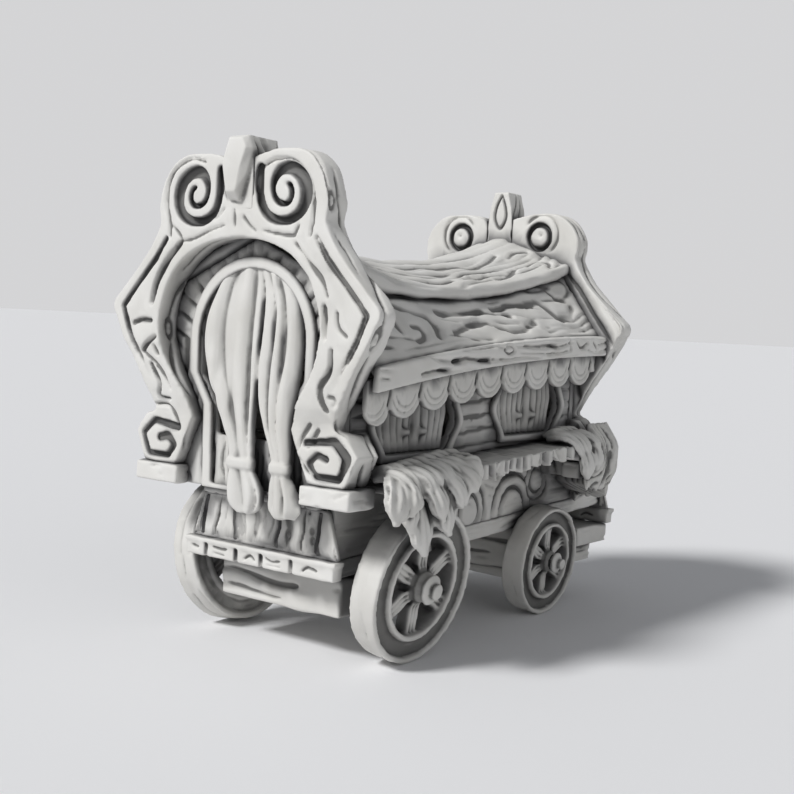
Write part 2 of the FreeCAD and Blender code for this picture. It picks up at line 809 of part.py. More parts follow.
def make_ledge(side, label):
    """The shelf over the wheels, from the lower wall out to its hanging fringe."""
    body = new_body(label)
    clear = setback + size("foot_depth") + 1.8

    def board(near, far, thick):
        def outline(sketch):
            top = side_curve(ledge_top, near, far)
            bottom = [(y, z - thick) for y, z in top]
            draw(sketch, bottom[0], ("curve", bottom[1:]), top[-1], ("curve", top[::-1][1:]))
        return outline
    low, high = side_pair(side, "sheet.body_half_width - sheet.wall_thickness", "sheet.wall_half_width")
    slab_x(body, [board(near_wall + wall_thick, far_wall - wall_thick, size("ledge_thickness"))], low, high)
    low, high = side_pair(side, "sheet.wall_half_width", "sheet.ledge_half_width")
    slab_x(body, [board(near_face + clear, far_face - clear, size("ledge_thickness"))], low, high)
    low, high = side_pair(side, "sheet.ledge_half_width - 1.6", "sheet.ledge_half_width")
    slab_x(body, [board(near_face + clear, far_face - clear, size("fringe_height"))], low, high)
    return body


def fur_roll(body, side, low, high):
    """A thick roll of fur over the ledge and its edge, between two shares of the cabin's length."""
    sketches = []
    thick = size("fur_thickness")
    inner = wall_half + 1.8
    edge = size("ledge_half_width")
    for step in range(4):
        share = low + (high - low) * step / 3
        y = near_face + share * cabin_length
        top = ledge_top(y) + gap / 2
        full = thick * (1.0 if step in (1, 2) else 0.6)
        sketch = new_sketch(body, "XZ_Plane", f"-({NEAR} + {share} * sheet.cabin_length)")
        draw(sketch, *flip([(inner, top), (edge, top), (edge, top - 2.6), (edge + full * 0.8, top - 2.2),
                            (edge + full * 0.85, top + full * 0.3), (edge - 1.8, top + full),
                            (inner + 1.6, top + full * 0.9)], side))
        sketches.append(sketch)
    loft(body, sketches, ruled=True)


def make_thatch(side, label):
    """Fur rolls on the ledge, and pointed locks over its edge, long ones before the right tall wheel."""
    body = new_body(label)
    fur_roll(body, side, 0.118, 0.36)
    fur_roll(body, side, 0.745, 0.882)

    def lock(root, tip, drop, width):
        def outline(sketch):
            start = near_face + root * cabin_length
            end = near_face + tip * cabin_length
            top = ledge_top(start) + 0.5
            tip_z = ledge_top(start) - drop
            middle = (start * 0.4 + end * 0.6, top * 0.4 + tip_z * 0.6)
            draw(sketch, (start - width / 2, top),
                 ("curve", [(middle[0] - width * 0.46, middle[1]), (end, tip_z)]),
                 ("curve", [(middle[0] + width * 0.5, middle[1] + 0.6), (start + width / 2, top)]))
        return outline
    # each lock: root and tip as shares of the cabin's length, drop below the ledge, width, layer
    far_locks = [(0.80, 0.818, 8.2, 6.4, 2), (0.85, 0.862, 6.4, 5.0, 1)]
    short = [(0.285, 0.300, 5.4, 4.0, 2), (0.335, 0.342, 5.2, 3.4, 1)]
    long = [(0.145, 0.138, 4.6, 5.0, 1), (0.160, 0.165, 8.4, 6.0, 2), (0.190, 0.188, 14.6, 5.6, 1),
            (0.225, 0.248, 11.6, 6.0, 2), (0.262, 0.282, 6.6, 5.0, 1)]
    level = {1: "1.3", 2: "2.2"}
    locks = far_locks + short + (long if side > 0 else [])
    for root, tip, drop, width, layer in locks:
        low, high = side_pair(side, "sheet.ledge_half_width", f"sheet.ledge_half_width + {level[layer]}")
        slab_x(body, [lock(root, tip, drop, width)], low, high)
    return body


def make_drape(side, label):
    """Fur that hangs outside the far arch's foot and falls along the porch's side."""
    body = new_body(label)
    outer = 29.5 + gap
    low = plinth_top - 7.0
    start = -(setback + size("foot_depth") + 1.5)
    end = -(setback - 0.7 - gap)
    beside = [(start, 0.8), ((start + end) / 2, 1.0), (end, 1.0)]
    sketches = []
    for out, full in beside:
        sketch = new_sketch(body, "XZ_Plane", f"-({FAR} + {out})")
        draw(sketch, *flip([(outer + 1.0, low + 2.0), (outer + 2.8 * full, low), (outer + 4.2 * full, low + 8.0),
                            (outer + 2.6 * full, low + 15.0), (outer + 1.0, low + 17.0)], side))
        sketches.append(sketch)
    loft(body, sketches, ruled=True)
    # share of the porch's length, the outer edge, the bottom and the top of the falling fur
    falling = [(0.0, outer + 4.2, low, low + 17.0), (0.14, outer + 2.6, low - 2.4, low + 15.0),
               (0.30, outer - 2.0, low - 3.6, low + 9.0), (0.44, lower_half + 4.4, low - 3.0, low + 3.4)]
    sketches = []
    inner = lower_half + gap
    for share, reach, bottom, top in falling:
        out = end + share * (size("porch_length") - end)
        sketch = new_sketch(body, "XZ_Plane", f"-({FAR} + {out})")
        draw(sketch, *flip([(inner, bottom + 1.0), (reach - 1.6, bottom), (reach, (bottom + top) / 2),
                            (reach - 1.8, top - 2.4), ((reach + inner) / 2, top), (inner, top - 1.6)], side))
        sketches.append(sketch)
    loft(body, sketches, ruled=True)
    return body


def end_board(end, outward, inward):
    """The two y planes of a board that stands off the skirt's outer face at an end."""
    if end < 0:
        return (f"{NEAR} + sheet.skirt_setback - {outward}", f"{NEAR} + sheet.skirt_setback + {inward}")
    return (f"{FAR} + sheet.porch_length - 1.6 - {inward}", f"{FAR} + sheet.porch_length - 1.6 + {outward}")


def make_skirt(end, label):
    """The planked end of the lower body, under the near door and at the end of the porch."""
    body = new_body(label)
    top = floor_z - size("floor_thickness")
    foot = size("block_bottom") + size("block_height")

    def outline(sketch):
        draw(sketch, (-20.4, foot), (20.4, foot), (17.2, top), (-17.2, top))
    slab_y(body, [outline], *end_board(end, "0", "1.8"))
    seams = []
    for share in (-0.68, -0.34, 0.02, 0.36, 0.70):
        foot_x = share * 20.0
        top_x = share * 17.0
        seams.append(lambda sketch, a=foot_x, b=top_x: draw(
            sketch, (a - 0.3, foot - 1.0), (a + 0.3, foot - 1.0), (b + 0.3, top + 1.0), (b - 0.3, top + 1.0)))
    cut_y(body, seams, *end_board(end, "0.5", "0.7"))
    return body


def make_block_board(end, label):
    """A board with a row of five blocks, each cut to its own width."""
    body = new_body(label)
    half = size("block_half_width")
    bottom = size("block_bottom")
    top = bottom + size("block_height")
    slab_y(body, [rectangle(-half, top - 0.9, half, top)], *end_board(end, "1.6", "1.8"))
    slab_y(body, [rectangle(-half + 0.4, bottom + 0.4, half - 0.4, top - 0.8)], *end_board(end, "0.4", "1.8"))
    edges = [-half + 2 * half * share for share in (0.0, 0.148, 0.357, 0.526, 0.721, 1.0)]
    blocks = [rectangle(low + 0.5, bottom, high - 0.5, top - 0.8) for low, high in zip(edges, edges[1:])]
    slab_y(body, blocks, *end_board(end, "1.3", "1.8"))
    return body


def make_lower_panel(side, label):
    """The wall of the narrow lower body between the wheels, under the ledge and on to the porch."""
    body = new_body(label)
    low, high = side_pair(side, "sheet.body_half_width - sheet.wall_thickness", "sheet.body_half_width")
    near = near_wall + wall_thick
    far = far_wall - wall_thick
    front = near_face + size("skirt_setback") + 1.8
    back = porch_end - 3.4

    def outline(sketch):
        under = size("ledge_thickness")
        shelf = size("sill_height")
        top = [(y, z - under) for y, z in side_curve(ledge_top, far, near)]
        draw(sketch, (front, sill_bottom(front) + shelf), (back, sill_bottom(back) + shelf), (back, floor_z),
             (far, floor_z), top[0], ("curve", top[1:]), (near, floor_z), (front, floor_z))
    slab_x(body, [outline], low, high)
    return body


def make_sill(side, label):
    body = new_body(label)
    low, high = side_pair(side, "sheet.body_half_width - 4.0", "sheet.body_half_width")
    front = near_face + size("skirt_setback") + 1.8
    back = porch_end - 3.4

    def outline(sketch):
        tall = size("sill_height")
        draw(sketch, (front, sill_bottom(front)), (back, sill_bottom(back)), (back, sill_bottom(back) + tall),
             (front, sill_bottom(front) + tall))
    slab_x(body, [outline], low, high)
    # notched over the near axle's saddle
    y = near_face + size("large_place")
    notch = new_sketch(body, "YZ_Plane", f"{low} - 1")
    draw(notch, (y - 3.7, saddle_top - 5.0), (y + 3.7, saddle_top - 5.0), (y + 3.7, saddle_top + 0.3),
         (y - 3.7, saddle_top + 0.3))
    pocket(body, notch, f"({high}) - ({low}) + 2", reverse=True)
    return body


# Axles and wheels. The wheels lean outwards at the top, so each has its own frame at the middle
# of its outer face.

def make_axle(label, size_word, saddle):
    body = new_body(label)
    y = near_face + size(f"{size_word}_place")
    length = size(f"{label}_length")
    bottom = size(f"{label}_bottom")
    top = size(f"{label}_top")
    slab_x(body, [rectangle(y - length / 2, bottom, y + length / 2, top)],
           "-sheet.axle_half_width", "sheet.axle_half_width")
    if saddle:
        slab_x(body, [rectangle(y - 3.4, top - 1.0, y + 3.4, saddle_top)],
               "-sheet.axle_half_width", "sheet.axle_half_width")
    camber = math.radians(size(f"{size_word}_camber"))
    width = size(f"{size_word}_width")
    face = size(f"{size_word}_face")
    centre = size(f"{size_word}_radius") * math.cos(camber)
    plane = [item for item in body.Origin.OriginFeatures if item.Role == "YZ_Plane"][0]
    for side in (-1, 1):
        turn = FreeCAD.Rotation(vector(1, 0, 0), side * math.degrees(camber))
        collar = (2.2, width + 6.0, width + gap)
        pin = (size("pin_radius"), width + 1.0, -1.6)
        for radius, start, stop in (collar, pin):
            x = side * (face - start * math.cos(camber))
            z = centre + start * math.sin(camber)
            sketch = body.newObject("Sketcher::SketchObject", body.Name + "_pin")
            sketch.AttachmentSupport = [(plane, "")]
            sketch.MapMode = "FlatFace"
            sketch.AttachmentOffset = FreeCAD.Placement(vector(y, z, x), turn)
            circle(sketch, 0.0, 0.0, radius)
            feature = body.newObject("PartDesign::Pad", body.Name + "_pin_pad")
            feature.Profile = sketch
            feature.Length = start - stop
            feature.Reversed = side < 0
    return body


def make_wheel(side, label, size_word):
    """A deep rim with a lip and a raised inner ring, six broad spokes and a barrel hub with a cap."""
    body = new_body(label)
    radius = size(f"{size_word}_radius")
    camber = math.radians(size(f"{size_word}_camber"))
    broad = size(f"{size_word}_width")
    width = f"sheet.{size_word}_width"

    def ring(outer, inner):
        def outline(sketch):
            circle(sketch, 0.0, 0.0, outer)
            circle(sketch, 0.0, 0.0, inner)
        return outline
    slab_x(body, [ring(radius, radius * 0.64)], *side_pair(side, f"-{width}", "0"))
    channel = new_sketch(body, "YZ_Plane", side_pair(side, "-1.0", "1.0")[0])
    ring(radius * 0.93, radius * 0.71)(channel)
    pocket(body, channel, "2.0", reverse=True)

    def spokes(sketch):
        count = 6
        half = radius * 0.105
        reach = radius * 0.66
        root = radius * 0.20
        for i in range(count):
            turn = 2 * math.pi * (i + 0.5) / count
            across = (math.cos(turn), math.sin(turn))
            corners = [(root, -half), (reach, -half), (reach, half), (root, half)]
            draw(sketch, *[(a * across[0] - b * across[1], a * across[1] + b * across[0]) for a, b in corners])
    slab_x(body, [spokes], *side_pair(side, f"-0.72 * {width}", f"-0.22 * {width}"))
    # the barrel hub and its cap are turned about the wheel's axis
    hub = new_sketch(body, "XY_Plane", "0")
    reach = size("hub_reach")
    profile = [(-broad, 0.0), (-broad, radius * 0.19), (-broad * 0.5, radius * 0.25), (0.0, radius * 0.235),
               (reach * 0.5, radius * 0.20), (reach * 0.58, radius * 0.13), (reach * 0.9, radius * 0.12),
               (reach, radius * 0.08), (reach, 0.0)]
    draw(hub, *flip(profile, side))
    barrel = body.newObject("PartDesign::Revolution", body.Name + "_hub")
    barrel.Profile = hub
    barrel.ReferenceAxis = (hub, ["H_Axis"])
    barrel.Angle = 360.0
    low, high = side_pair(side, f"-{width} - 1", "1.6 + sheet.running_gap")
    hole = new_sketch(body, "YZ_Plane", low)
    circle(hole, 0.0, 0.0, size("pin_radius") + size("pin_clearance"))
    pocket(body, hole, f"({high}) - ({low})", reverse=True)
    y = near_face + size(f"{size_word}_place")
    body.Placement = FreeCAD.Placement(
        vector(side * size(f"{size_word}_face"), y, radius * math.cos(camber)),
        FreeCAD.Rotation(vector(0, 1, 0), side * math.degrees(camber)),
    )
    return body


def make_bolster(label):
    """The stepped block under the porch."""
    body = new_body(label)
    back = porch_end - 1.0
    slab_z(body, [rectangle(-19.6, back - 16.5, 19.6, back)], "sheet.block_bottom - 4.9", "sheet.block_bottom - 0.1")
    slab_z(body, [rectangle(-17.0, back - 13.0, 17.0, back - 4.0)], "sheet.block_bottom - 9.9",
           "sheet.block_bottom - 4.9")
    return body


for end, word in ((-1, "near"), (1, "far")):
    make_arch(end, f"{word}_arch")
    make_keystone(end, f"{word}_keystone")
    make_plinths(end, f"{word}_plinths")
    make_end_wall(end, f"{word}_wall")
    make_door_frame(end, f"{word}_door_frame")
    make_curtains(end, f"{word}_curtains")
    make_skirt(end, f"{word}_skirt")
    make_block_board(end, f"{word}_block_board")
for side, word in ((-1, "left"), (1, "right")):
    make_side_wall(side, f"{word}_wall")
    make_window_frames(side, f"{word}_window_frames")
    make_window_curtains(side, f"{word}_window_curtains")
    make_roof_panel(side, f"{word}_roof_panel")
    make_fascia(side, f"{word}_fascia")
    make_valance(side, f"{word}_valance")
    make_ledge(side, f"{word}_ledge")
    make_thatch(side, f"{word}_thatch")
    make_drape(side, f"{word}_fur_drape")
    make_lower_panel(side, f"{word}_lower_panel")
    make_sill(side, f"{word}_sill")
    make_wheel(side, f"near_{word}_wheel", "large")
    make_wheel(side, f"far_{word}_wheel", "small")
make_floor("floor")
make_bolster("porch_bolster")
make_roof_cap("roof_cap")
make_axle("near_axle", "large", True)
make_axle("far_axle", "small", False)

doc.recompute()

for item in doc.Objects:
    if "Invalid" in item.State or "Error" in item.State:
        raise RuntimeError(f"{item.Label} failed: {item.State}")
for body in parts:
    if body.Shape.isNull() or not body.Shape.isValid():
        raise RuntimeError(f"{body.Label} has no valid shape")

os.makedirs("parts", exist_ok=True)
for body in parts:
    body.Shape.exportStep(os.path.join("parts", body.Label + ".step"))
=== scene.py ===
import json
import math
import bpy
import numpy as np
from mathutils import Matrix, Vector


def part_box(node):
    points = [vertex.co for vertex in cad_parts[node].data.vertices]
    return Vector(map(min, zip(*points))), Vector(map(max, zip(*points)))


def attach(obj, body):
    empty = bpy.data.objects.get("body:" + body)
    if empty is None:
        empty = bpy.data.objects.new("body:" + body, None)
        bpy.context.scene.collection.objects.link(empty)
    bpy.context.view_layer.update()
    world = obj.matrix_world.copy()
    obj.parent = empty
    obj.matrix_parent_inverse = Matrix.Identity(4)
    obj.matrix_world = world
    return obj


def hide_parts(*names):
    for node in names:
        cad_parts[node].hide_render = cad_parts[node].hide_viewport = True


# A carved vardo wagon miniature in one pale resin. Lengths in this script are millimetres in
# the frame of the solids, and the meshes are written in metres.

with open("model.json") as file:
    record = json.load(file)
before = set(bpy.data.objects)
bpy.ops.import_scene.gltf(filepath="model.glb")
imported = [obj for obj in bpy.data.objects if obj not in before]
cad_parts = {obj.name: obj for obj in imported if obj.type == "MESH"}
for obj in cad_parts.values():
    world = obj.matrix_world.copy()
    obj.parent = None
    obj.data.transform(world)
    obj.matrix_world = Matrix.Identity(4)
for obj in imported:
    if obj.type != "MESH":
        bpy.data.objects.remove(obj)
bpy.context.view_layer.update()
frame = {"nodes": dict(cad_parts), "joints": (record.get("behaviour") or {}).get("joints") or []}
MM = 0.001

NEAR_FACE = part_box("near_arch")[0].y / MM
FAR_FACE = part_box("far_arch")[1].y / MM
CABIN = FAR_FACE - NEAR_FACE
LEDGE_START, LEDGE_RISE = 37.4, 6.6
EAVE_START, EAVE_RISE = 60.6, 8.7
# the left side carries the right side's marks turned end for end: y becomes MIRROR - y
MIRROR = -25.0


# Noise and shaping curves

def smooth(low, high, value):
    t = np.clip((value - low) / (high - low), 0.0, 1.0)
    return t * t * (3 - 2 * t)


def lattice(ix, iy, iz, seed):
    n = (ix * 73856093) ^ (iy * 19349663) ^ (iz * 83492791) ^ (seed * 15485863 + 977)
    n = ((n ^ (n >> 13)) * 1274126177) & 0x7FFFFFFF
    n = ((n ^ (n >> 15)) * 668265263) & 0x7FFFFFFF
    return n / 0x3FFFFFFF - 1.0


def noise(x, y, z=0.0, seed=0):
    """Smooth noise from -1 to 1 with a wavelength of about 2."""
    x, y, z = np.broadcast_arrays(x, y, z)
    ix, iy, iz = (np.floor(a).astype(np.int64) for a in (x, y, z))
    fx, fy, fz = (a - i for a, i in ((x, ix), (y, iy), (z, iz)))
    fx, fy, fz = (f * f * (3 - 2 * f) for f in (fx, fy, fz))
    total = 0.0
    for dx in (0, 1):
        for dy in (0, 1):
            for dz in (0, 1):
                weight = (fx if dx else 1 - fx) * (fy if dy else 1 - fy) * (fz if dz else 1 - fz)
                total = total + weight * lattice(ix + dx, iy + dy, iz + dz, seed)
    return total


def grain(along, across, pitch, stretch, seed, cover=0.0, width=0.34, knots=()):
    """Depth from 0 to 1 of carved wood grain: broken grooves that run along and bend round knots."""
    rings = np.zeros(along.shape)
    for ku, kv, radius in knots:
        du, dv = (along - ku) / (2.0 * radius), (across - kv) / radius
        eye = np.sqrt(du * du + dv * dv)
        rings = np.maximum(rings, smooth(0.34, 0.16, np.abs(eye - 0.72)))
        rings = np.maximum(rings, smooth(0.26, 0.05, eye))
        across = across + radius * 0.9 * np.sign(dv) * np.exp(-du * du) * np.exp(-np.abs(dv) * 0.8)
    phase = across / pitch + 0.75 * noise(along / stretch, across / (pitch * 2.6), seed, seed)
    line = np.floor(phase)
    near = np.abs(phase - line - 0.5)
    run = noise(along / (stretch * 0.75) + line * 3.7, line * 5.3, seed + 0.5, seed + 1)
    reach = width * smooth(-0.35, 0.35, run + cover)
    groove = smooth(reach, reach * 0.25, near + 1e-6) * smooth(0.02, 0.12, reach)
    return np.maximum(groove, rings)


def curve_through(points, step=0.6):
    """A smooth line through points, as many short pieces."""
    pts = np.array(points, float)
    if len(pts) < 3:
        return pts
    ends = np.vstack([2 * pts[0] - pts[1], pts, 2 * pts[-1] - pts[-2]])
    out = []
    for i in range(1, len(ends) - 2):
        a, b, c, d = ends[i - 1:i + 3]
        count = max(2, int(np.linalg.norm(c - b) / step))
        for t in np.linspace(0, 1, count, endpoint=False):
            out.append(0.5 * (2 * b + (c - a) * t + (2 * a - 5 * b + 4 * c - d) * t * t
                              + (3 * b - a - 3 * c + d) * t ** 3))
    out.append(pts[-1])
    return np.array(out)


def groove_depth(u, v, strokes, soft=0.35):
    """Depth at the places (u, v) of grooves drawn as strokes: points, width, depth."""
    total = np.zeros(u.shape)
    for points, width, depth in strokes:
        path = curve_through(points)
        half = width / 2
        inside = ((u > path[:, 0].min() - width) & (u < path[:, 0].max() + width)
                  & (v > path[:, 1].min() - width) & (v < path[:, 1].max() + width))
        where = np.nonzero(inside)[0]
        if not len(where):
            continue
        pu, pv = u[where], v[where]
        best = np.full(len(where), 1e9)
        share = np.zeros(len(where))
        for i, (a, b) in enumerate(zip(path, path[1:])):
            run = b - a
            t = np.clip(((pu - a[0]) * run[0] + (pv - a[1]) * run[1]) / float(run @ run), 0, 1)
            d = np.hypot(pu - a[0] - t * run[0], pv - a[1] - t * run[1])
            closer = d < best
            best[closer] = d[closer]
            share[closer] = (i + t[closer]) / (len(path) - 1)
        taper = 0.55 + 0.45 * np.sin(np.pi * np.clip(share * 0.9 + 0.05, 0, 1)) ** 0.6
        total[where] = np.maximum(total[where], depth * smooth(half * taper, half * taper * soft, best))
    return total


def facing(n, *axes):
    """1 where the skin faces along one of the axes, either way, and 0 where it doesn't."""
    return smooth(0.5, 0.8, np.abs(n[:, list(axes)]).max(axis=1))


def turned(x, y):
    """Place along a side for marks that are drawn for the right side."""
    return np.where(x < 0, MIRROR - y, y)


def climb(y):
    """How much of their rise the ledges and the eaves have at y, from 0 to 1."""
    along = (y - NEAR_FACE) / CABIN
    return 1.92 * along - 0.92 * along * along


def ledge_top(y):
    return LEDGE_START + LEDGE_RISE * climb(y)


def eave_top(y):
    return EAVE_START + EAVE_RISE * climb(y)


# Clay: a solid's skin remeshed finely, so that it can be carved

BODY, SOFT, GEAR = "resin_body", "resin_soft_forms", "resin_running_gear"
CARVED = []


class Clay:
    def __init__(self, name, nodes, voxel, rounds=3, lumps=(), solid=True):
        """The skin of the named solids, joined with lumps given as (points, faces).

        Without solid it is the skin of the lumps alone."""
        points, faces = [], []
        count = 0
        for node in nodes if solid else []:
            mesh = frame["nodes"][node].data
            co = np.zeros(len(mesh.vertices) * 3)
            mesh.vertices.foreach_get("co", co)
            points.append(co.reshape(-1, 3))
            faces += [[count + v for v in polygon.vertices] for polygon in mesh.polygons]
            count += len(mesh.vertices)
        for lump_points, lump_faces in lumps:
            points.append(np.array(lump_points) * MM)
            faces += [[count + v for v in face] for face in lump_faces]
            count += len(lump_points)
        mesh = bpy.data.meshes.new(name)
        mesh.from_pydata(np.vstack(points).tolist(), [], faces)
        rough = bpy.data.objects.new(name + "_rough", mesh)
        bpy.context.scene.collection.objects.link(rough)
        voxels = rough.modifiers.new("voxels", "REMESH")
        voxels.mode = "VOXEL"
        voxels.voxel_size = voxel * MM
        graph = bpy.context.evaluated_depsgraph_get()
        fine = bpy.data.meshes.new_from_object(rough.evaluated_get(graph))
        bpy.data.objects.remove(rough)
        bpy.data.meshes.remove(mesh)
        co = np.zeros(len(fine.vertices) * 3)
        fine.vertices.foreach_get("co", co)
        corners = np.zeros(len(fine.loops), np.int32)
        fine.loops.foreach_get("vertex_index", corners)
        edges = np.zeros(len(fine.edges) * 2, np.int32)
        fine.edges.foreach_get("vertices", edges)
        bpy.data.meshes.remove(fine)
        self.name = name
        self.nodes = nodes
        self.co = co.reshape(-1, 3) / MM
        self.quads = corners.reshape(-1, 4)
        self.edges = edges.reshape(-1, 2)
        self.count = len(self.co)
        ends = np.concatenate([self.edges[:, 0], self.edges[:, 1]])
        self.degree = np.maximum(np.bincount(ends, minlength=self.count), 1)
        self.relax(rounds)

    def average(self, values):
        """Each point's mean over its neighbours."""
        a, b = self.edges[:, 0], self.edges[:, 1]
        if values.ndim == 1:
            total = np.bincount(a, values[b], self.count) + np.bincount(b, values[a], self.count)
            return total / self.degree
        return np.stack([self.average(values[:, i]) for i in range(values.shape[1])], 1)

    def relax(self, rounds, weight=0.55):
        """Rounds off the edges a little, as a cast piece has them."""
        for _ in range(rounds):
            self.co = self.co + weight * (self.average(self.co) - self.co)

    def normals(self):
        c = self.co[self.quads]
        face = np.cross(c[:, 2] - c[:, 0], c[:, 3] - c[:, 1])
        out = np.zeros((self.count, 3))
        for i in range(3):
            for k in range(4):
                out[:, i] += np.bincount(self.quads[:, k], face[:, i], self.count)
        return out / np.maximum(np.linalg.norm(out, axis=1), 1e-12)[:, None]

    def shape(self, carve):
        """Cuts by carve(x, y, z, normals)."""
        n = self.normals()
        self.co = self.co - n * np.asarray(carve(*self.co.T, n))[:, None]

    def finish(self, slot, body="wagon", polish=1):
        """Makes the piece. Its value "hollow" is over 0.5 in hollows and below that on edges."""
        fine_share, wide_share = 22.0, 60.0
        self.relax(polish, 0.35)
        n = self.normals()
        hollow = np.einsum("ij,ij->i", self.average(self.co) - self.co, n)
        for _ in range(3):
            hollow = 0.4 * hollow + 0.6 * self.average(hollow)
        wide = hollow.copy()
        for _ in range(24):
            wide = self.average(wide)
        shade = np.clip(hollow * fine_share, -1, 1) + np.clip(wide * wide_share, -1, 1)
        mesh = bpy.data.meshes.new(self.name)
        mesh.vertices.add(self.count)
        mesh.vertices.foreach_set("co", (self.co * MM).ravel())
        mesh.loops.add(len(self.quads) * 4)
        mesh.loops.foreach_set("vertex_index", self.quads.ravel())
        mesh.polygons.add(len(self.quads))
        mesh.polygons.foreach_set("loop_start", np.arange(0, len(self.quads) * 4, 4, dtype=np.int32))
        mesh.update(calc_edges=True)
        mesh.polygons.foreach_set("use_smooth", np.ones(len(self.quads), bool))
        # the resin turns this value into painted shade in hollows and a painted highlight on edges
        layer = mesh.attributes.new("hollow", "FLOAT", "POINT")
        layer.data.foreach_set("value", np.clip(0.5 + 0.5 * shade, 0, 1).astype(np.float32))
        piece = bpy.data.objects.new(self.name, mesh)
        bpy.context.scene.collection.objects.link(piece)
        mesh.materials.append(RESINS[slot])
        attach(piece, body)
        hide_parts(*self.nodes)
        self.piece, self.out = piece, n
        CARVED.append(self)


def darken_nooks():
    """How far each point is closed in by surfaces within about 14 mm, as the value "nook", which the resin
    turns into painted shade.

    Rays go out from it through a grid of cells that are full where a surface passes."""
    cell, steps, count, lift = 0.8, 12, 22, 1.1
    every = np.vstack([clay.co for clay in CARVED])
    low = every.min(axis=0) - 2 * cell
    size = np.ceil((every.max(axis=0) - low) / cell).astype(int) + 3
    full = np.zeros(size, bool)
    where = ((every - low) / cell).astype(int)
    full[where[:, 0], where[:, 1], where[:, 2]] = True
    turn = np.pi * (3 - math.sqrt(5)) * np.arange(count)
    height = 1 - 2 * (np.arange(count) + 0.5) / count
    flat = np.sqrt(1 - height ** 2)
    rays = np.stack([flat * np.cos(turn), flat * np.sin(turn), height], 1)
    for clay in CARVED:
        start = clay.co + clay.out * lift
        shut = np.zeros(clay.count)
        weights = np.zeros(clay.count)
        for ray in rays:
            rise = clay.out @ ray
            ahead = np.where(rise[:, None] < 0, -ray, ray)
            weight = np.clip(np.abs(rise) - 0.12, 0, 1)
            best = np.zeros(clay.count)
            for step in range(1, steps):
                at = ((start + ahead * cell * step ** 1.2 - low) / cell).astype(int)
                at = np.clip(at, 0, size - 1)
                hit = full[at[:, 0], at[:, 1], at[:, 2]]
                best = np.maximum(best, hit * (1 - 0.55 * step / steps))
            shut += weight * best
            weights += weight
        shut = shut / np.maximum(weights, 1e-6)
        for _ in range(4):
            shut = 0.3 * shut + 0.7 * clay.average(shut)
        layer = clay.piece.data.attributes.new("nook", "FLOAT", "POINT")
        layer.data.foreach_set("value", np.clip(shut, 0, 1).astype(np.float32))


def thin_out():
    """Halves the triangles of each piece, most of all where its skin is flat."""
    share = 0.5
    for clay in CARVED:
        clay.piece.modifiers.new("thin", "DECIMATE").ratio = share
    graph = bpy.context.evaluated_depsgraph_get()
    for clay in CARVED:
        full = clay.piece.data
        thin = bpy.data.meshes.new_from_object(clay.piece.evaluated_get(graph))
        clay.piece.modifiers.clear()
        clay.piece.data = thin
        bpy.data.meshes.remove(full)
        thin.name = clay.name


# The resin

def resin(name, tint, roughness):
    """One matt resin: a painted highlight on edges, painted shade in the hollows and nooks, with a fine
    printed tooth.
    """
    material = bpy.data.materials.new(name)
    material.use_nodes = True
    tree = material.node_tree
    link = tree.links.new
    shader = tree.nodes["Principled BSDF"]
    shader.inputs["Roughness"].default_value = roughness
    shader.inputs["Specular IOR Level"].default_value = 0.35
    place = tree.nodes.new("ShaderNodeTexCoord")

    def value(name):
        node = tree.nodes.new("ShaderNodeAttribute")
        node.attribute_name = name
        return node.outputs["Fac"]

    def cloud(scale, detail):
        node = tree.nodes.new("ShaderNodeTexNoise")
        node.inputs["Scale"].default_value = scale
        node.inputs["Detail"].default_value = detail
        link(place.outputs["Object"], node.inputs["Vector"])
        return node.outputs["Fac"]

    def ramp(source, *stops):
        """Colours by a value: each stop is a value and its colour."""
        node = tree.nodes.new("ShaderNodeValToRGB")
        elements = node.color_ramp.elements
        for i, (at, colour) in ((0, stops[0]), (1, stops[-1])):
            elements[i].position = at
            elements[i].color = (*colour, 1)
        for at, colour in stops[1:-1]:
            elements.new(at).color = (*colour, 1)
        link(source, node.inputs["Fac"])
        return node.outputs["Color"]

    def multiply(first, second):
        node = tree.nodes.new("ShaderNodeMix")
        node.data_type = "RGBA"
        node.blend_type = "MULTIPLY"
        node.inputs["Factor"].default_value = 1.0
        link(first, node.inputs["A"])
        link(second, node.inputs["B"])
        return node.outputs["Result"]

    # painted highlight on convex edges and painted shade in hollows, both from the skin's curvature value
    # "hollow"
    edge_light_and_hollow_shade = ramp(value("hollow"), (0.30, [min(1.0, c * 1.05) for c in tint]),
                (0.54, [c * 0.96 for c in tint]), (0.86, [c * 0.30 for c in tint]))
    mottle = ramp(cloud(90.0, 4.0), (0.30, (0.88, 0.875, 0.86)), (0.70, (1, 1, 1)))
    # painted shade: darker the more nearby surfaces close a point in, from the value "nook"
    nook_shade = ramp(value("nook"), (0.10, (1, 1, 1)), (0.5, (0.35, 0.35, 0.36)), (0.95, (0.08, 0.08, 0.085)))
    link(multiply(multiply(edge_light_and_hollow_shade, mottle), nook_shade), shader.inputs["Base Color"])
    bump = tree.nodes.new("ShaderNodeBump")
    bump.inputs["Strength"].default_value = 0.10
    bump.inputs["Distance"].default_value = 0.00008
    link(cloud(2600.0, 3.0), bump.inputs["Height"])
    link(bump.outputs["Normal"], shader.inputs["Normal"])
    return material


RESINS = {
    BODY: resin(BODY, (0.70, 0.69, 0.665), 0.62),
    SOFT: resin(SOFT, (0.66, 0.65, 0.625), 0.68),
    GEAR: resin(GEAR, (0.66, 0.65, 0.625), 0.60),
}


# The arches. A stroke is its points, its width and its depth

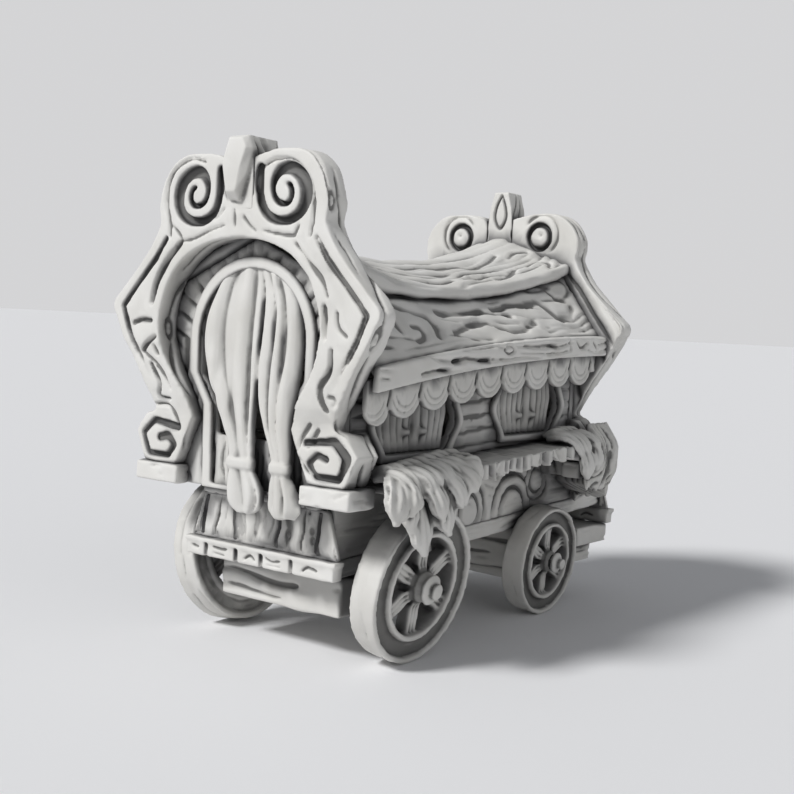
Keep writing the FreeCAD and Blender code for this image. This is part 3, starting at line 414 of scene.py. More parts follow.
LEFT_STROKES = [
    ([(-9.9, 100.2), (-14.0, 100.9), (-18.2, 99.2), (-20.4, 96.0), (-20.6, 91.9), (-19.6, 88.6),
      (-19.3, 85.3)], 1.2, 0.9),
    ([(-16.1, 84.1), (-19.9, 80.4), (-22.8, 76.2), (-24.1, 71.7)], 1.9, 1.4),
    ([(-15.7, 84.5), (-12.5, 84.9), (-8.0, 86.5), (-3.8, 87.6)], 0.9, 0.6),
    ([(-19.1, 87.8), (-16.6, 86.0), (-15.7, 84.5)], 0.9, 0.6),
    ([(-3.9, 90.8), (-6.4, 88.8)], 1.0, 0.7),
    ([(-1.3, 90.7), (-1.0, 87.4)], 0.9, 0.5),
    ([(-29.6, 67.3), (-26.9, 68.1), (-24.2, 68.0)], 1.3, 1.1),
    ([(-26.8, 61.5), (-25.0, 63.4), (-22.8, 64.8)], 1.5, 1.2),
    ([(-23.5, 62.9), (-22.2, 61.0)], 1.3, 1.0),
    ([(-24.6, 59.0), (-23.4, 57.0), (-22.3, 54.8), (-22.9, 52.2), (-19.7, 51.9)], 1.2, 1.1),
    ([(-26.4, 61.4), (-22.0, 58.2), (-19.2, 54.0)], 1.0, 0.8),
    ([(-25.1, 50.3), (-20.8, 50.6), (-18.6, 48.8), (-17.1, 46.0)], 1.1, 0.9),
    ([(-25.0, 39.5), (-20.5, 39.6)], 0.9, 0.6),
]
RIGHT_STROKES = [
    ([(5.8, 98.6), (9.1, 99.9), (13.0, 99.6), (16.4, 97.6), (18.6, 94.2), (19.4, 89.4),
      (18.8, 85.4)], 1.3, 0.9),
    ([(15.2, 84.0), (18.4, 80.7), (22.0, 77.4), (23.7, 74.1)], 1.1, 0.7),
    ([(1.3, 89.3), (3.0, 87.6), (5.0, 86.2)], 0.9, 0.5),
    ([(6.8, 86.5), (10.5, 85.8), (14.8, 85.4)], 1.0, 0.6),
    ([(15.9, 87.6), (14.7, 85.4)], 1.0, 0.6),
    ([(22.9, 72.4), (23.3, 69.4), (23.4, 66.3)], 1.5, 1.1),
    ([(26.1, 71.3), (26.6, 68.5), (28.6, 66.9)], 1.2, 0.9),
    ([(25.1, 64.3), (24.9, 60.6), (22.3, 57.2), (22.6, 54.8), (23.7, 52.9)], 1.4, 1.1),
    ([(24.6, 55.6), (25.7, 55.4), (25.9, 54.4), (25.2, 53.8)], 0.9, 0.6),
    ([(18.9, 49.9), (16.8, 47.3), (15.7, 44.6)], 1.0, 0.7),
    ([(20.9, 49.0), (18.2, 45.3)], 1.0, 0.7),
    ([(15.9, 43.2), (20.0, 39.7), (26.2, 39.6)], 1.0, 0.7),
]
SCROLL_X = 12.3
SCROLL_Z = 93.9
# height, place behind the face, radius
SIDE_KNOTS = ((66.5, 3.4, 1.3), (92.0, 2.4, 1.1))
# height of the middle that the grain on the arch's back goes round, and its mean radius
OPENING_Z, OPENING_RADIUS = 60.0, 30.0


def block(low, high):
    """A plain box as points and faces."""
    points = [(x, y, z) for x in (low[0], high[0]) for y in (low[1], high[1]) for z in (low[2], high[2])]
    return points, [(0, 1, 3, 2), (4, 6, 7, 5), (0, 4, 5, 1), (2, 3, 7, 6), (0, 2, 6, 4), (1, 5, 7, 3)]


def carve_arch(end, word):
    """Traced strokes on the outer face, rings and grain on the inner one, grain on the sides."""
    face = NEAR_FACE if end < 0 else FAR_FACE
    # the look's near keystone is shorter than its slot, so the slot is filled below it
    slot = [block((-3.9, face + 0.2, 89.0), (3.9, face + 7.6, 93.2))] if end < 0 else []
    clay = Clay(f"{word}_arch_carved", [f"{word}_arch"], 0.38, rounds=4, lumps=slot)
    drop = 0.0 if end < 0 else 2.6
    lobe = 6.9 if end < 0 else 4.9

    def carve(x, y, z, n):
        outward = n[:, 1] * end
        front = smooth(0.45, 0.80, outward)
        lifted = z + drop * smooth(80.0, 92.0, z)
        depth = 0.9 * front * groove_depth(x * -end, lifted, LEFT_STROKES + RIGHT_STROKES)
        back = smooth(0.45, 0.80, -outward)
        run = np.abs(x)
        ring = np.hypot(run - SCROLL_X, z - SCROLL_Z)
        upper_half = smooth(-0.6, 0.2, (run - SCROLL_X + z - SCROLL_Z) / (ring + 0.1))
        halo = smooth(0.6, 0.2, np.abs(ring - lobe)) * upper_half
        pit = smooth(0.9, 0.2, ring)
        depth += back * (0.6 * halo + 0.5 * pit)
        away = np.hypot(run * 0.94, z - OPENING_Z)
        turn = np.arctan2(z - OPENING_Z, run) * OPENING_RADIUS
        depth += 0.75 * back * smooth(88.0, 82.0, z) * grain(turn, away, 3.0, 16.0, 5, cover=0.35, width=0.30)
        # the side grain stays off the scrolls, whose walls it would notch
        side = smooth(0.70, 0.40, np.abs(n[:, 1])) * smooth(lobe * 1.06, lobe * 1.16, ring)
        inward = (face - y) * end
        wander = 1.9 * noise(z / 8.0, x / 18.0, 0, 3)
        depth += 0.62 * side * grain(z, inward + wander, 3.4, 12.0, 9 + end, cover=-0.02, width=0.24,
                                     knots=SIDE_KNOTS)
        if end < 0:
            # on the right the photo's grooves are only half as deep
            right = smooth(1.0, 3.0, x) * smooth(50.0, 54.0, z) * smooth(88.0, 85.0, z)
            depth -= 0.5 * front * right * np.clip(inward, 0, 1.6)
        return depth
    clay.shape(carve)
    # the knife leaves broad uneven facets
    clay.shape(lambda x, y, z, n: 0.17 * noise(x / 3.4, y / 3.4, z / 3.4, 21))
    clay.finish(BODY)


# The roof

ROOF_STROKES = [
    ([(24.8, -43.8), (26.6, -43.4)], 2.4, 0.5),
    ([(25.6, -38.8), (25.9, -36.2), (27.6, -36.6), (28.2, -39.4)], 1.8, 0.55),
    ([(24.3, -1.8), (24.9, 0.4)], 1.9, 0.8),
    ([(21.4, 21.6), (23.0, 23.6), (24.2, 27.6)], 1.6, 0.6),
    ([(29.4, -46.0), (29.0, -30.0), (29.6, -14.0)], 0.9, 0.35),
    ([(29.4, 10.0), (29.0, 18.0), (29.5, 27.0)], 0.9, 0.35),
]
CAP_STROKES = [
    ([(6.0, -38.0), (8.4, -31.6), (11.0, -27.8), (12.8, -22.0)], 2.0, 0.7),
    ([(14.4, -40.4), (16.4, -35.6), (18.6, -33.6)], 2.2, 0.8),
    ([(17.0, -28.6), (17.9, -20.0), (16.6, -11.5)], 1.9, 0.75),
    ([(15.8, -6.6), (15.9, -1.2), (15.1, 5.2)], 2.4, 0.85),
    ([(7.6, -21.0), (7.2, -9.5), (7.8, 0.8), (9.6, 5.5), (8.9, 13.0), (7.0, 20.0)], 1.8, 0.7),
    ([(18.2, 4.0), (17.4, 10.0), (15.0, 16.5)], 2.2, 0.8),
    ([(9.6, 22.0), (8.6, 26.4), (10.0, 30.2)], 1.9, 0.7),
    ([(15.6, 20.5), (15.0, 25.5), (17.2, 28.6), (19.0, 25.6)], 1.9, 0.7),
]
# the line that the grain of the roof's sides swirls round
SWIRL_X, SWIRL_Z = 20.0, 80.0


def carve_roof(side, word):
    """Lapped bark on one slope of the roof."""
    clay = Clay(f"{word}_roof_carved", [f"{word}_roof_panel"], 0.46, rounds=6)
    strokes = [([(x, y if side > 0 else MIRROR - y) for x, y in points], width, depth)
               for points, width, depth in ROOF_STROKES]

    def carve(x, y, z, n):
        top = smooth(0.25, 0.6, n[:, 2])
        slope = np.hypot(np.abs(x) - SWIRL_X, z - SWIRL_Z)
        across = slope + 1.4 * noise(y / 8.0, slope / 6.0, 0, 31)
        swirl = grain(y, across, 3.1, 13.0, 32, cover=-0.15, width=0.30)
        marks = 1.3 * groove_depth(x * side, y, strokes, soft=0.2) + 0.6 * swirl
        return top * marks + 0.34 * noise(x / 3.2, y / 5.0, z / 3.2, 33)
    clay.shape(carve)
    clay.finish(BODY, polish=5)


def carve_cap():
    """Rolls of bark along the ridge."""
    clay = Clay("roof_cap_carved", ["roof_cap"], 0.46, rounds=6)

    def carve(x, y, z, n):
        top = smooth(0.25, 0.6, n[:, 2])
        along = turned(x, y)
        lip = smooth(0.5, 0.2, n[:, 2]) * 0.3 * noise(y / 5.0, z / 1.2, 0, 37)
        across = np.abs(x) + 1.6 * noise(y / 9.0, x / 7.0, 0, 38)
        rolls = grain(along, across, 3.6, 17.0, 39, cover=0.05, width=0.34) * smooth(6.0, 9.0, np.abs(x))
        marks = np.maximum(1.35 * groove_depth(np.abs(x), along, CAP_STROKES, soft=0.2), 0.6 * rolls)
        return top * marks + lip + 0.34 * noise(x / 3.2, y / 6.0, 0, 35)
    clay.shape(carve)
    clay.finish(BODY, polish=4)


def plain(name, node, slot=BODY, body="wagon", voxel=0.4, rounds=2, carve=None):
    """A piece from one solid's skin, carved all over in one way."""
    clay = Clay(name, [node], voxel, rounds)
    if carve:
        clay.shape(carve)
    clay.finish(slot, body)


# Cloth: closed lofted skins with soft folds

def spline(keys, values, at):
    """Smooth values between keys, without overshoot of the line through them."""
    keys, values = np.asarray(keys, float), np.asarray(values, float)
    slope = np.gradient(values, keys)
    i = np.clip(np.searchsorted(keys, at) - 1, 0, len(keys) - 2)
    h = keys[i + 1] - keys[i]
    t = (at - keys[i]) / h
    return ((2 * t ** 3 - 3 * t ** 2 + 1) * values[i] + (t ** 3 - 2 * t ** 2 + t) * h * slope[i]
            + (3 * t ** 2 - 2 * t ** 3) * values[i + 1] + (t ** 3 - t ** 2) * h * slope[i + 1])


def skin(rings):
    """A closed skin through rings of points, with capped ends."""
    points = np.vstack(rings)
    size = len(rings[0])
    faces = []
    for row in range(len(rings) - 1):
        for i in range(size):
            a, b = row * size + i, row * size + (i + 1) % size
            faces.append([a, b, b + size, a + size])
    faces.append(list(range(size))[::-1])
    faces.append([(len(rings) - 1) * size + i for i in range(size)])
    return points, faces


def cloth(rows, folds, place, phase=0.0, back=1.0, drift=0.0, uneven=0.16):
    """Rows are height, both edges, the front's depth and how deep the folds are, from the top down."""
    rows = np.array(rows, float)[::-1]
    heights = np.linspace(rows[0, 0], rows[-1, 0], max(8, int((rows[-1, 0] - rows[0, 0]) / 0.7)))
    low, high, front, depth = (spline(rows[:, 0], rows[:, k], heights) for k in (1, 2, 3, 4))
    rings = []
    for k, z in enumerate(heights):
        share = np.linspace(0, 1, 17 * folds)
        lean = phase + drift * (z - heights[0]) / (heights[-1] - heights[0])
        swing = folds * share + lean + uneven * np.sin(5.2 * share + 9.0 * phase)
        crest = np.abs(np.cos(np.pi * swing)) ** 0.7
        edge = 1 - np.sin(np.pi * share) ** 0.3
        x = low[k] + (high[k] - low[k]) * share
        y = front[k] + depth[k] * (1 - crest) + (0.5 * depth[k] + 0.5) * edge
        turn = np.linspace(1, 0, 9)
        bx = low[k] + (high[k] - low[k]) * turn
        by = np.full(len(bx), front[k] + depth[k] + back)
        rings.append(np.array([place(u, v) + (z,) for u, v in zip(np.r_[x, bx], np.r_[y, by])]))
    return skin(rings)


def tie_band(x0, x1, front, z0, z1, place):
    """The band round a gathered curtain."""
    rings = []
    for z, grow in ((z0, -0.25), (z0 + 0.25, 0.1), (z1 - 0.25, 0.1), (z1, -0.25)):
        turn = np.linspace(0, 2 * np.pi, 28, endpoint=False)
        u = (x0 + x1) / 2 + ((x1 - x0) / 2 + grow) * np.sign(np.cos(turn)) * np.abs(np.cos(turn)) ** 0.7
        v = front + 1.1 + (1.25 + grow) * np.sign(np.sin(turn)) * np.abs(np.sin(turn)) ** 0.7
        rings.append(np.array([place(a, b) + (z,) for a, b in zip(u, v)]))
    return skin(rings)


DOOR_TOP = 79.4
TIE = 40.4


def hang_door_curtains(end, word):
    """Two halves, tied at knee height, with tails that splay below the ties."""
    face = NEAR_FACE if end < 0 else FAR_FACE

    def place(x, inward):
        return -end * x, face - end * inward
    drop = 9.8 if end < 0 else 5.9
    wide = [(DOOR_TOP + 1.2, -6.0, 1.8, 4.9, 0.6), (DOOR_TOP - 1.2, -8.4, 2.4, 4.7, 1.0),
            (DOOR_TOP - 4.0, -10.4, 2.9, 4.3, 1.3), (DOOR_TOP - 7.5, -12.0, 3.1, 3.9, 1.6),
            (DOOR_TOP - 14.0, -13.0, 3.2, 3.2, 1.8), (DOOR_TOP - 20.0, -11.6, 3.3, 2.6, 1.7),
            (DOOR_TOP - 26.0, -8.4, 3.2, 2.2, 1.5), (DOOR_TOP - 32.0, -5.0, 3.2, 2.0, 1.2),
            (TIE + 1.6, -2.8, 3.6, 2.0, 0.8), (TIE - 0.6, -2.4, 3.7, 1.9, 0.7),
            (TIE - drop * 0.3, -2.9, 5.2, 1.7, 1.2), (TIE - drop * 0.6, -3.2, 6.5, 1.6, 1.5),
            (TIE - drop * 0.85, -2.4, 6.0, 1.8, 1.4), (TIE - drop, -0.4, 4.4, 2.2, 1.0)]
    narrow = [(DOOR_TOP + 0.8, 1.4, 6.6, 4.9, 0.6), (DOOR_TOP - 1.8, 2.6, 9.2, 4.7, 1.0),
              (DOOR_TOP - 4.6, 3.3, 11.4, 4.3, 1.3), (DOOR_TOP - 8.0, 3.7, 13.0, 3.9, 1.6),
              (DOOR_TOP - 14.0, 3.9, 14.1, 3.2, 1.8), (DOOR_TOP - 20.0, 3.7, 14.2, 2.6, 1.7),
              (DOOR_TOP - 26.0, 4.4, 13.6, 2.2, 1.5), (DOOR_TOP - 32.0, 6.4, 13.2, 2.0, 1.2),
              (TIE + 1.6, 9.0, 13.4, 2.0, 0.8), (TIE - 0.6, 9.5, 13.3, 1.9, 0.7),
              (TIE - drop * 0.3, 8.8, 14.8, 1.7, 1.2), (TIE - drop * 0.6, 8.4, 16.2, 1.6, 1.5),
              (TIE - drop * 0.85, 8.5, 16.2, 1.7, 1.4), (TIE - drop, 9.8, 15.0, 2.2, 1.0)]
    lumps = [cloth(wide, 3, place, phase=0.1, drift=0.3, uneven=0.34),
             cloth(narrow, 2, place, phase=0.4, drift=-0.3, uneven=0.3),
             tie_band(-3.0, 4.2, 1.7, TIE - 0.9, TIE + 1.1, place),
             tie_band(9.0, 13.9, 1.7, TIE - 0.9, TIE + 1.1, place)]
    clay = Clay(f"{word}_curtains_hung", [f"{word}_curtains"], 0.30, lumps=lumps, solid=False)
    clay.shape(lambda x, y, z, n: 0.26 * noise(x / 1.5, y / 2.0, z / 16.0, 44)
               + 0.14 * noise(x / 5.0, y / 5.0, z / 7.0, 45))
    clay.finish(SOFT)


WINDOW_SHARES = (0.283, 0.717)
WINDOW_HALF = 14.6
CURTAIN_OUT = 24.4
# height over the window's bottom, outer and inner edge from its middle, front, fold depth
WINDOW_CURTAIN = ((15.8, 11.6, -0.5, 0.3, 0.7), (11.5, 12.0, -0.5, 0.2, 0.9), (8.0, 12.6, -0.4, 0.2, 1.0),
                  (4.6, 11.9, 0.0, 0.3, 0.9), (2.4, 11.4, -0.3, 0.2, 0.9), (0.1, 11.2, -0.5, 0.3, 0.8))


def hang_window_curtains(side, word):
    def place(y, inward):
        return side * (CURTAIN_OUT - inward), y
    lumps = []
    for share in WINDOW_SHARES:
        middle = NEAR_FACE + share * CABIN
        bottom = ledge_top(middle + WINDOW_HALF) + 1.9
        for hand in (-1, 1):
            rows = []
            for height, outer, inner, front, depth in WINDOW_CURTAIN:
                edges = sorted((middle + hand * outer, middle + hand * inner))
                rows.append((bottom + height, *edges, front, depth))
            lumps.append(cloth(rows, 5, place, phase=0.3 * hand, back=0.7))
            knot = sorted((middle + hand * 1.7, middle + hand * 4.3))
            lumps.append(tie_band(*knot, -0.3, bottom + 3.6, bottom + 5.0, place))
    clay = Clay(f"{word}_window_curtains_hung", [f"{word}_window_curtains"], 0.34, 1, lumps=lumps, solid=False)
    clay.finish(SOFT)


# Fur: tapered locks with strands

def lock(points, width, thick, flat, strands=5):
    """One lock of fur along a bent line: flat is the direction in which it is thin."""
    path = curve_through(points, 0.7)
    flat = np.array(flat, float)
    rings = []
    for i, p in enumerate(path):
        t = i / (len(path) - 1)
        ahead = path[min(i + 1, len(path) - 1)] - path[max(i - 1, 0)]
        ahead = ahead / np.linalg.norm(ahead)
        thin = flat - ahead * (flat @ ahead)
        thin = thin / np.linalg.norm(thin)
        wide = np.cross(ahead, thin)
        full = smooth(-0.35, 0.45, t) * (1 - smooth(0.66, 1.0, t) ** 1.5 * 0.80)
        turn = np.linspace(0, 2 * np.pi, 40, endpoint=False)
        off_middle = np.abs(np.arctan2(np.cos(turn), np.sin(turn)))
        barbs = 0.10 * (0.7 * i / 2.4 % 1 - 0.5) * np.cos(turn) ** 4
        ridge = 1 + full * (0.19 * np.cos(strands * 2 * off_middle - 3 * t) + barbs)
        ring = p + np.outer(np.cos(turn) * ridge * width / 2 * full, wide) + np.outer(
            np.sin(turn) * ridge * thick / 2 * (0.35 + 0.65 * full), thin)
        rings.append(ring)
    return skin(rings)


UPPER_ROW = {"reach": 32.4, "inner": 25.8, "lift": 2.0}


def fur_row(side, low, high, count, seed, reach=35.0, inner=28.0, lift=1.2):
    """Tufts side by side that lie on the ledge, lean the same way and end past its edge."""
    random = np.random.default_rng(seed)
    locks = []
    for i in range(count):
        y = low + (high - low) * (i + 0.5) / count + random.uniform(-0.5, 0.5)
        top = ledge_top(y)
        lean = random.uniform(1.2, 4.6)
        fall = random.uniform(1.2, 4.4)
        out = reach + random.uniform(-0.7, 0.7)
        root = inner + random.uniform(0, 1.6)
        width = 3.8 * random.uniform(0.85, 1.15)
        points = [(side * root, y - 1.4, top + lift * 0.7),
                  (side * (root + out) / 2, y, top + lift + 0.7),
                  (side * (out - 0.6), y + 0.5 * lean, top + lift * 0.6),
                  (side * (out + 0.5), y + 0.8 * lean, top - fall * 0.5),
                  (side * (out + 0.4), y + lean, top - fall)]
        locks.append(lock(points, width, 2.5, (side * 0.5, 0, 0.85), strands=4))
    return locks


# root, middle, tip, width
LONG_LOCKS = [
    ((31.0, -50.8, 40.4), (35.4, -53.6, 37.0), (36.4, -55.2, 32.0), 7.2),
    ((32.0, -49.4, 40.8), (36.2, -50.4, 37.2), (37.0, -51.4, 33.4), 5.2),
    ((32.6, -48.2, 40.2), (34.6, -48.8, 35.0), (34.8, -48.6, 30.0), 5.4),
    ((32.6, -46.6, 39.6), (34.6, -45.6, 32.0), (35.0, -43.8, 24.8), 6.6),
    ((33.2, -44.8, 41.0), (36.5, -42.8, 36.6), (37.2, -41.0, 31.6), 5.4),
    ((33.4, -42.4, 41.2), (35.6, -39.6, 35.0), (36.0, -36.8, 28.2), 6.8),
    ((33.6, -39.6, 41.4), (36.7, -36.8, 37.8), (37.2, -34.8, 33.8), 5.2),
    ((33.8, -36.4, 41.6), (35.6, -33.6, 38.0), (35.8, -31.4, 34.0), 5.8),
    ((33.8, -33.4, 41.8), (36.2, -30.8, 39.6), (36.3, -28.4, 36.4), 5.2),
    ((33.6, -30.6, 42.2), (35.2, -28.4, 41.6), (35.4, -26.8, 39.8), 4.6),
]
# place of the root, place of the tip, fall, width
FAR_LOCKS = ((18.8, 20.2, 8.4, 5.6), (23.6, 24.6, 6.6, 4.8))


def lay_thatch(side, word):
    """Tufts on the ledge over both wheels, with long locks over the near right wheel."""
    lumps = fur_row(side, -52.0, -27.0, 10, 3) + fur_row(side, -52.5, -28.0, 9, 4, **UPPER_ROW)
    lumps += fur_row(side, 12.8, 23.4, 5, 7) + fur_row(side, 13.4, 22.4, 4, 8, **UPPER_ROW)
    for *places, width in LONG_LOCKS if side > 0 else []:
        points = [(side * x, y, z) for x, y, z in places]
        lumps.append(lock(points, width, 3.0, (side, 0, 0.3), strands=4))
    for y, tip, fall, width in FAR_LOCKS:
        top = ledge_top(y)
        points = [(side * 34.2, y, top + 0.4), (side * 35.9, (y + tip) / 2, top - fall * 0.5),
                  (side * 35.7, tip, top - fall)]
        lumps.append(lock(points, width, 2.8, (side, 0, 0.2)))
    clay = Clay(f"{word}_thatch_locks", [f"{word}_thatch"], 0.30, 1, lumps=lumps, solid=side < 0)
    clay.shape(lambda x, y, z, n: 0.20 * np.abs(noise(y * 1.3 + 0.5 * z, (np.abs(x) + z) / 5.0, 0, 51)))
    clay.finish(SOFT)


def lay_drape(side, word):
    """Long fur round the far arch's foot and down beside the porch."""
    random = np.random.default_rng(11)
    lumps = []
    for i in range(6):
        y = 27.6 + 1.7 * i
        out = 32.2 + random.uniform(0, 1.0)
        tip = 31.0 + random.uniform(0, 3.0)
        points = [(side * 31.2, y, 48.0), (side * (out + 1.0), y + 0.6, 42.5),
                  (side * (out + 0.9), y + 1.4, 37.0), (side * (out - 0.2), y + 1.8, tip)]
        lumps.append(lock(points, 3.4, 2.4, (side, 0, 0.2)))
    foot = FAR_FACE - 2.6
    for i in range(7):
        share = i / 6
        x = 31.6 - 12.6 * share
        y = foot + 2.4 + 7.0 * share
        top = 47.6 - 11.0 * share
        tip = max(top - random.uniform(13.5, 17.0), 28.0)
        points = [(side * (x - 0.6), y - 1.2, top), (side * x, y + 0.4, top - 5.0),
                  (side * (x - 0.2), y + 1.0, top - 10.0), (side * (x - 0.8), y + 0.6, tip)]
        lumps.append(lock(points, 3.8, 2.8, (side * 0.7, 0.7, 0.1)))
    clay = Clay(f"{word}_fur_drape_locks", [f"{word}_fur_drape"], 0.36, 1, lumps=lumps)
    clay.shape(lambda x, y, z, n: 0.4 * np.abs(noise((y - side * x) * 0.5, z / 7.0, 0, 53))
               + 0.6 * grain(z, y - side * x, 1.9, 8.0, 54, cover=0.3, width=0.27))
    clay.finish(SOFT)


# Wheels

WHEEL_RADIUS = {"near": 16.4, "far": 13.25}
SPOKE_ANGLE = math.pi / 3


def carve_wheel(wheel, radius):
    """Worn tread, a line along each side of a spoke, a sunk hub and a channel in the rim."""
    joint = next(j for j in frame["joints"] if j["child"] == wheel)
    centre = np.array(joint["pos_m"]) / MM
    axis = np.array(joint["axis"], float)
    up = np.array([0.0, 0, 1]) - axis * axis[2]
    up = up / np.linalg.norm(up)
    ahead = np.cross(axis, up)

    def carve(x, y, z, n):
        place = np.stack([x, y, z], 1) - centre
        a, u, v = place @ axis, place @ ahead, place @ up
        r = np.hypot(u, v)
        turn = np.arctan2(v, u)
        sideways = np.abs(n @ axis)
        tread = smooth(0.6, 0.3, sideways) * smooth(radius * 0.9, radius * 0.96, r)
        around = turn * 9 / np.pi
        depth = 0.28 * tread * grain(np.cos(turn) * 22 + turn * 6, a + 0.5 * np.sin(around), 2.6, 8.0, 61,
                                     cover=-0.05, width=0.26)
        across = r * np.sin(turn % SPOKE_ANGLE - SPOKE_ANGLE / 2)
        on_spoke = smooth(radius * 0.24, radius * 0.28, r) * smooth(radius * 0.66, radius * 0.62, r)
        depth += 0.45 * on_spoke * smooth(0.5, 0.8, sideways) * np.maximum(
            smooth(0.34, 0.12, np.abs(across - 0.55)), smooth(0.34, 0.12, np.abs(across + 0.55)))
        depth += 0.7 * smooth(radius * 0.30, radius * 0.26, r) * smooth(0.6, 0.3, sideways) * (a > 0)
        channel = (smooth(radius * 0.715, radius * 0.745, r) * smooth(radius * 0.925, radius * 0.895, r)
                   * smooth(0.7, 0.9, sideways))
        rough = 0.09 * noise(u / 2.5, v / 2.5, a / 2.5, 64)
        return depth + channel * (0.55 + 0.1 * grain(turn * radius, r, 1.6, 6.0, 63, cover=-0.2)) + rough
    plain(f"{wheel}_carved", wheel, GEAR, wheel, 0.36, carve=carve)


# Boards and blocks

SKIRT_GAPS = (-22.3, -17.9, -13.5, -8.6, -3.0, 4.0, 10.7, 14.7, 19.6)


def skirt_cut(x, y, z, n):
    """Rough upright planks like roots, with deep gaps between some of them."""
    across = -np.sign(y) * x
    wander = 0.9 * noise(z / 4.0, across / 7.0, 0, 71) + 0.05 * (z - 26.0) * across / 10.0
    depth = 0.45 + 0.55 * noise((across + wander) / 2.3, z / 9.0, 0, 74)
    for k, gap in enumerate(SKIRT_GAPS):
        wide, deep = (0.95, 1.5) if k % 2 else (0.6, 1.0)
        depth = np.maximum(depth, deep * smooth(wide, 0.1, np.abs(across + wander - gap)))
    fine = grain(z, across + wander, 1.2, 8.0, 73, cover=-0.25, width=0.25)
    return facing(n, 1) * (depth + 0.25 * fine)


BLOCK_MARKS = [
    ([(-17.0, 20.2), (-19.0, 20.5)], 0.7, 0.5), ([(-12.4, 20.9), (-10.0, 20.6), (-8.6, 20.9)], 0.7, 0.5),
    ([(-12.6, 19.6), (-9.4, 19.5)], 0.6, 0.4), ([(-3.6, 19.6), (-1.8, 20.6), (-0.6, 19.8)], 0.8, 0.6),
    ([(2.6, 20.8), (4.2, 20.2), (6.4, 20.6)], 0.7, 0.5), ([(3.2, 19.4), (6.6, 19.4)], 0.6, 0.4),
    ([(12.4, 19.6), (13.8, 20.6), (16.2, 20.2)], 0.8, 0.6),
]


def block_cut(x, y, z, n):
    """Plain short nicks on the blocks."""
    return facing(n, 1) * groove_depth(x, z, BLOCK_MARKS) + 0.12 * noise(x / 1.6, y / 1.6, z / 1.6, 75)


def axle_cut(x, y, z, n):
    """Long grain on the block, none on the pins."""
    lines = grain(x, z + y * 0.3, 3.6, 13.0, 77, cover=0.05, width=0.32)
    off_pins = smooth(17.2, 16.2, np.abs(x))
    return facing(n, 1, 2) * off_pins * (0.7 * lines + 0.3 * noise(x / 6, z / 2, y / 6, 78))


def plank_cut(x, y, z, n):
    """Boards along the cabin's side."""
    seam = np.abs(((z - 0.055 * y + 0.3 * noise(y / 6.0, z / 3.0, 0, 81)) / 3.3) % 1 - 0.5)
    return facing(n, 0) * (0.7 * smooth(0.12, 0.04, seam) + 0.3 * grain(y, z, 1.2, 7.0, 82, cover=-0.1))


# middle and radius of the doorway's head, and how far over that middle the fan of boards begins
HEAD_Z, HEAD_RADIUS, FAN_FROM = 56.0, 20.0, 8.7


def end_board_cut(x, y, z, n):
    """Boards behind the arch, set round the doorway's head."""
    upper = np.arctan2(x, np.maximum(z - HEAD_Z, 2.0)) * HEAD_RADIUS
    fan = np.where(z > HEAD_Z + FAN_FROM, upper, np.arctan2(x, FAN_FROM) * HEAD_RADIUS)
    across = fan + 0.5 * noise(z / 5.0, x / 5.0, 0, 84)
    seam = np.abs((across / 3.1) % 1 - 0.5)
    return facing(n, 1) * (0.6 * smooth(0.14, 0.05, seam) + 0.35 * grain(z, across, 1.3, 6.0, 85, cover=0.0))


def fringe_cut(x, y, z, n):
    """Cut ends of thatch along the ledge's edge, strands across its top."""
    edge = smooth(0.4, 0.7, np.abs(n[:, 0])) * smooth(33.0, 34.0, np.abs(x))
    under = smooth(-0.3, -0.7, n[:, 2]) * smooth(32.8, 33.6, np.abs(x))
    top = smooth(0.5, 0.8, n[:, 2])
    ends = grain(z, y + 0.6 * noise(y / 3.0, z / 2.0, 0, 87), 2.6, 9.0, 88, cover=0.5, width=0.26)
    steps = noise(y / 1.5, 3.0, 0, 89)
    strands = grain(np.abs(x), y, 1.5, 7.0, 90, cover=0.25)
    return edge * (1.2 * ends + 0.7 * steps) + under * (0.8 * steps + 0.5 * ends) + top * 0.5 * strands


def sill_cut(x, y, z, n):
    return facing(n, 0) * 0.45 * grain(y, z - 0.05 * y, 1.5, 11.0, 91, cover=0.15)


def plinth_cut(x, y, z, n):
    upright = smooth(0.4, 0.8, np.abs(n[:, 1]) + np.abs(n[:, 0]))
    lines = grain(x + y, z, 1.6, 4.0, 92, cover=-0.15)
    return 0.4 * upright * lines + 0.16 * noise(x / 2.2, y / 2.2, z / 2.2, 93)


# Outlines in (x, z) on the keystones: the gem's front and foot, the stone, the drop on the back
GEM = [(-3.1, 99.7), (-1.9, 94.0), (0.6, 94.0), (1.4, 98.0), (3.1, 102.3), (2.1, 104.2), (-1.4, 104.3)]
GEM_EDGE = [(-3.7, 99.6), (-2.5, 92.6), (0.5, 92.2), (2.6, 97.6), (3.8, 102.2), (2.8, 104.9), (-2.3, 104.9)]
STONE = [(-3.5, 90.6), (3.5, 90.6), (3.5, 101.2), (2.6, 104.9), (-2.6, 104.9), (-3.5, 101.2)]
DROP_EDGE = [(0.2, 104.2), (-1.3, 101.0), (-1.6, 98.0), (0.0, 95.6), (1.6, 98.0), (1.4, 101.0), (0.2, 104.2)]


def prism(outlines):
    """A closed skin through outlines, each a list of (x, z) with its y."""
    return skin([np.array([(x, y, z) for x, z in points]) for points, y in outlines])


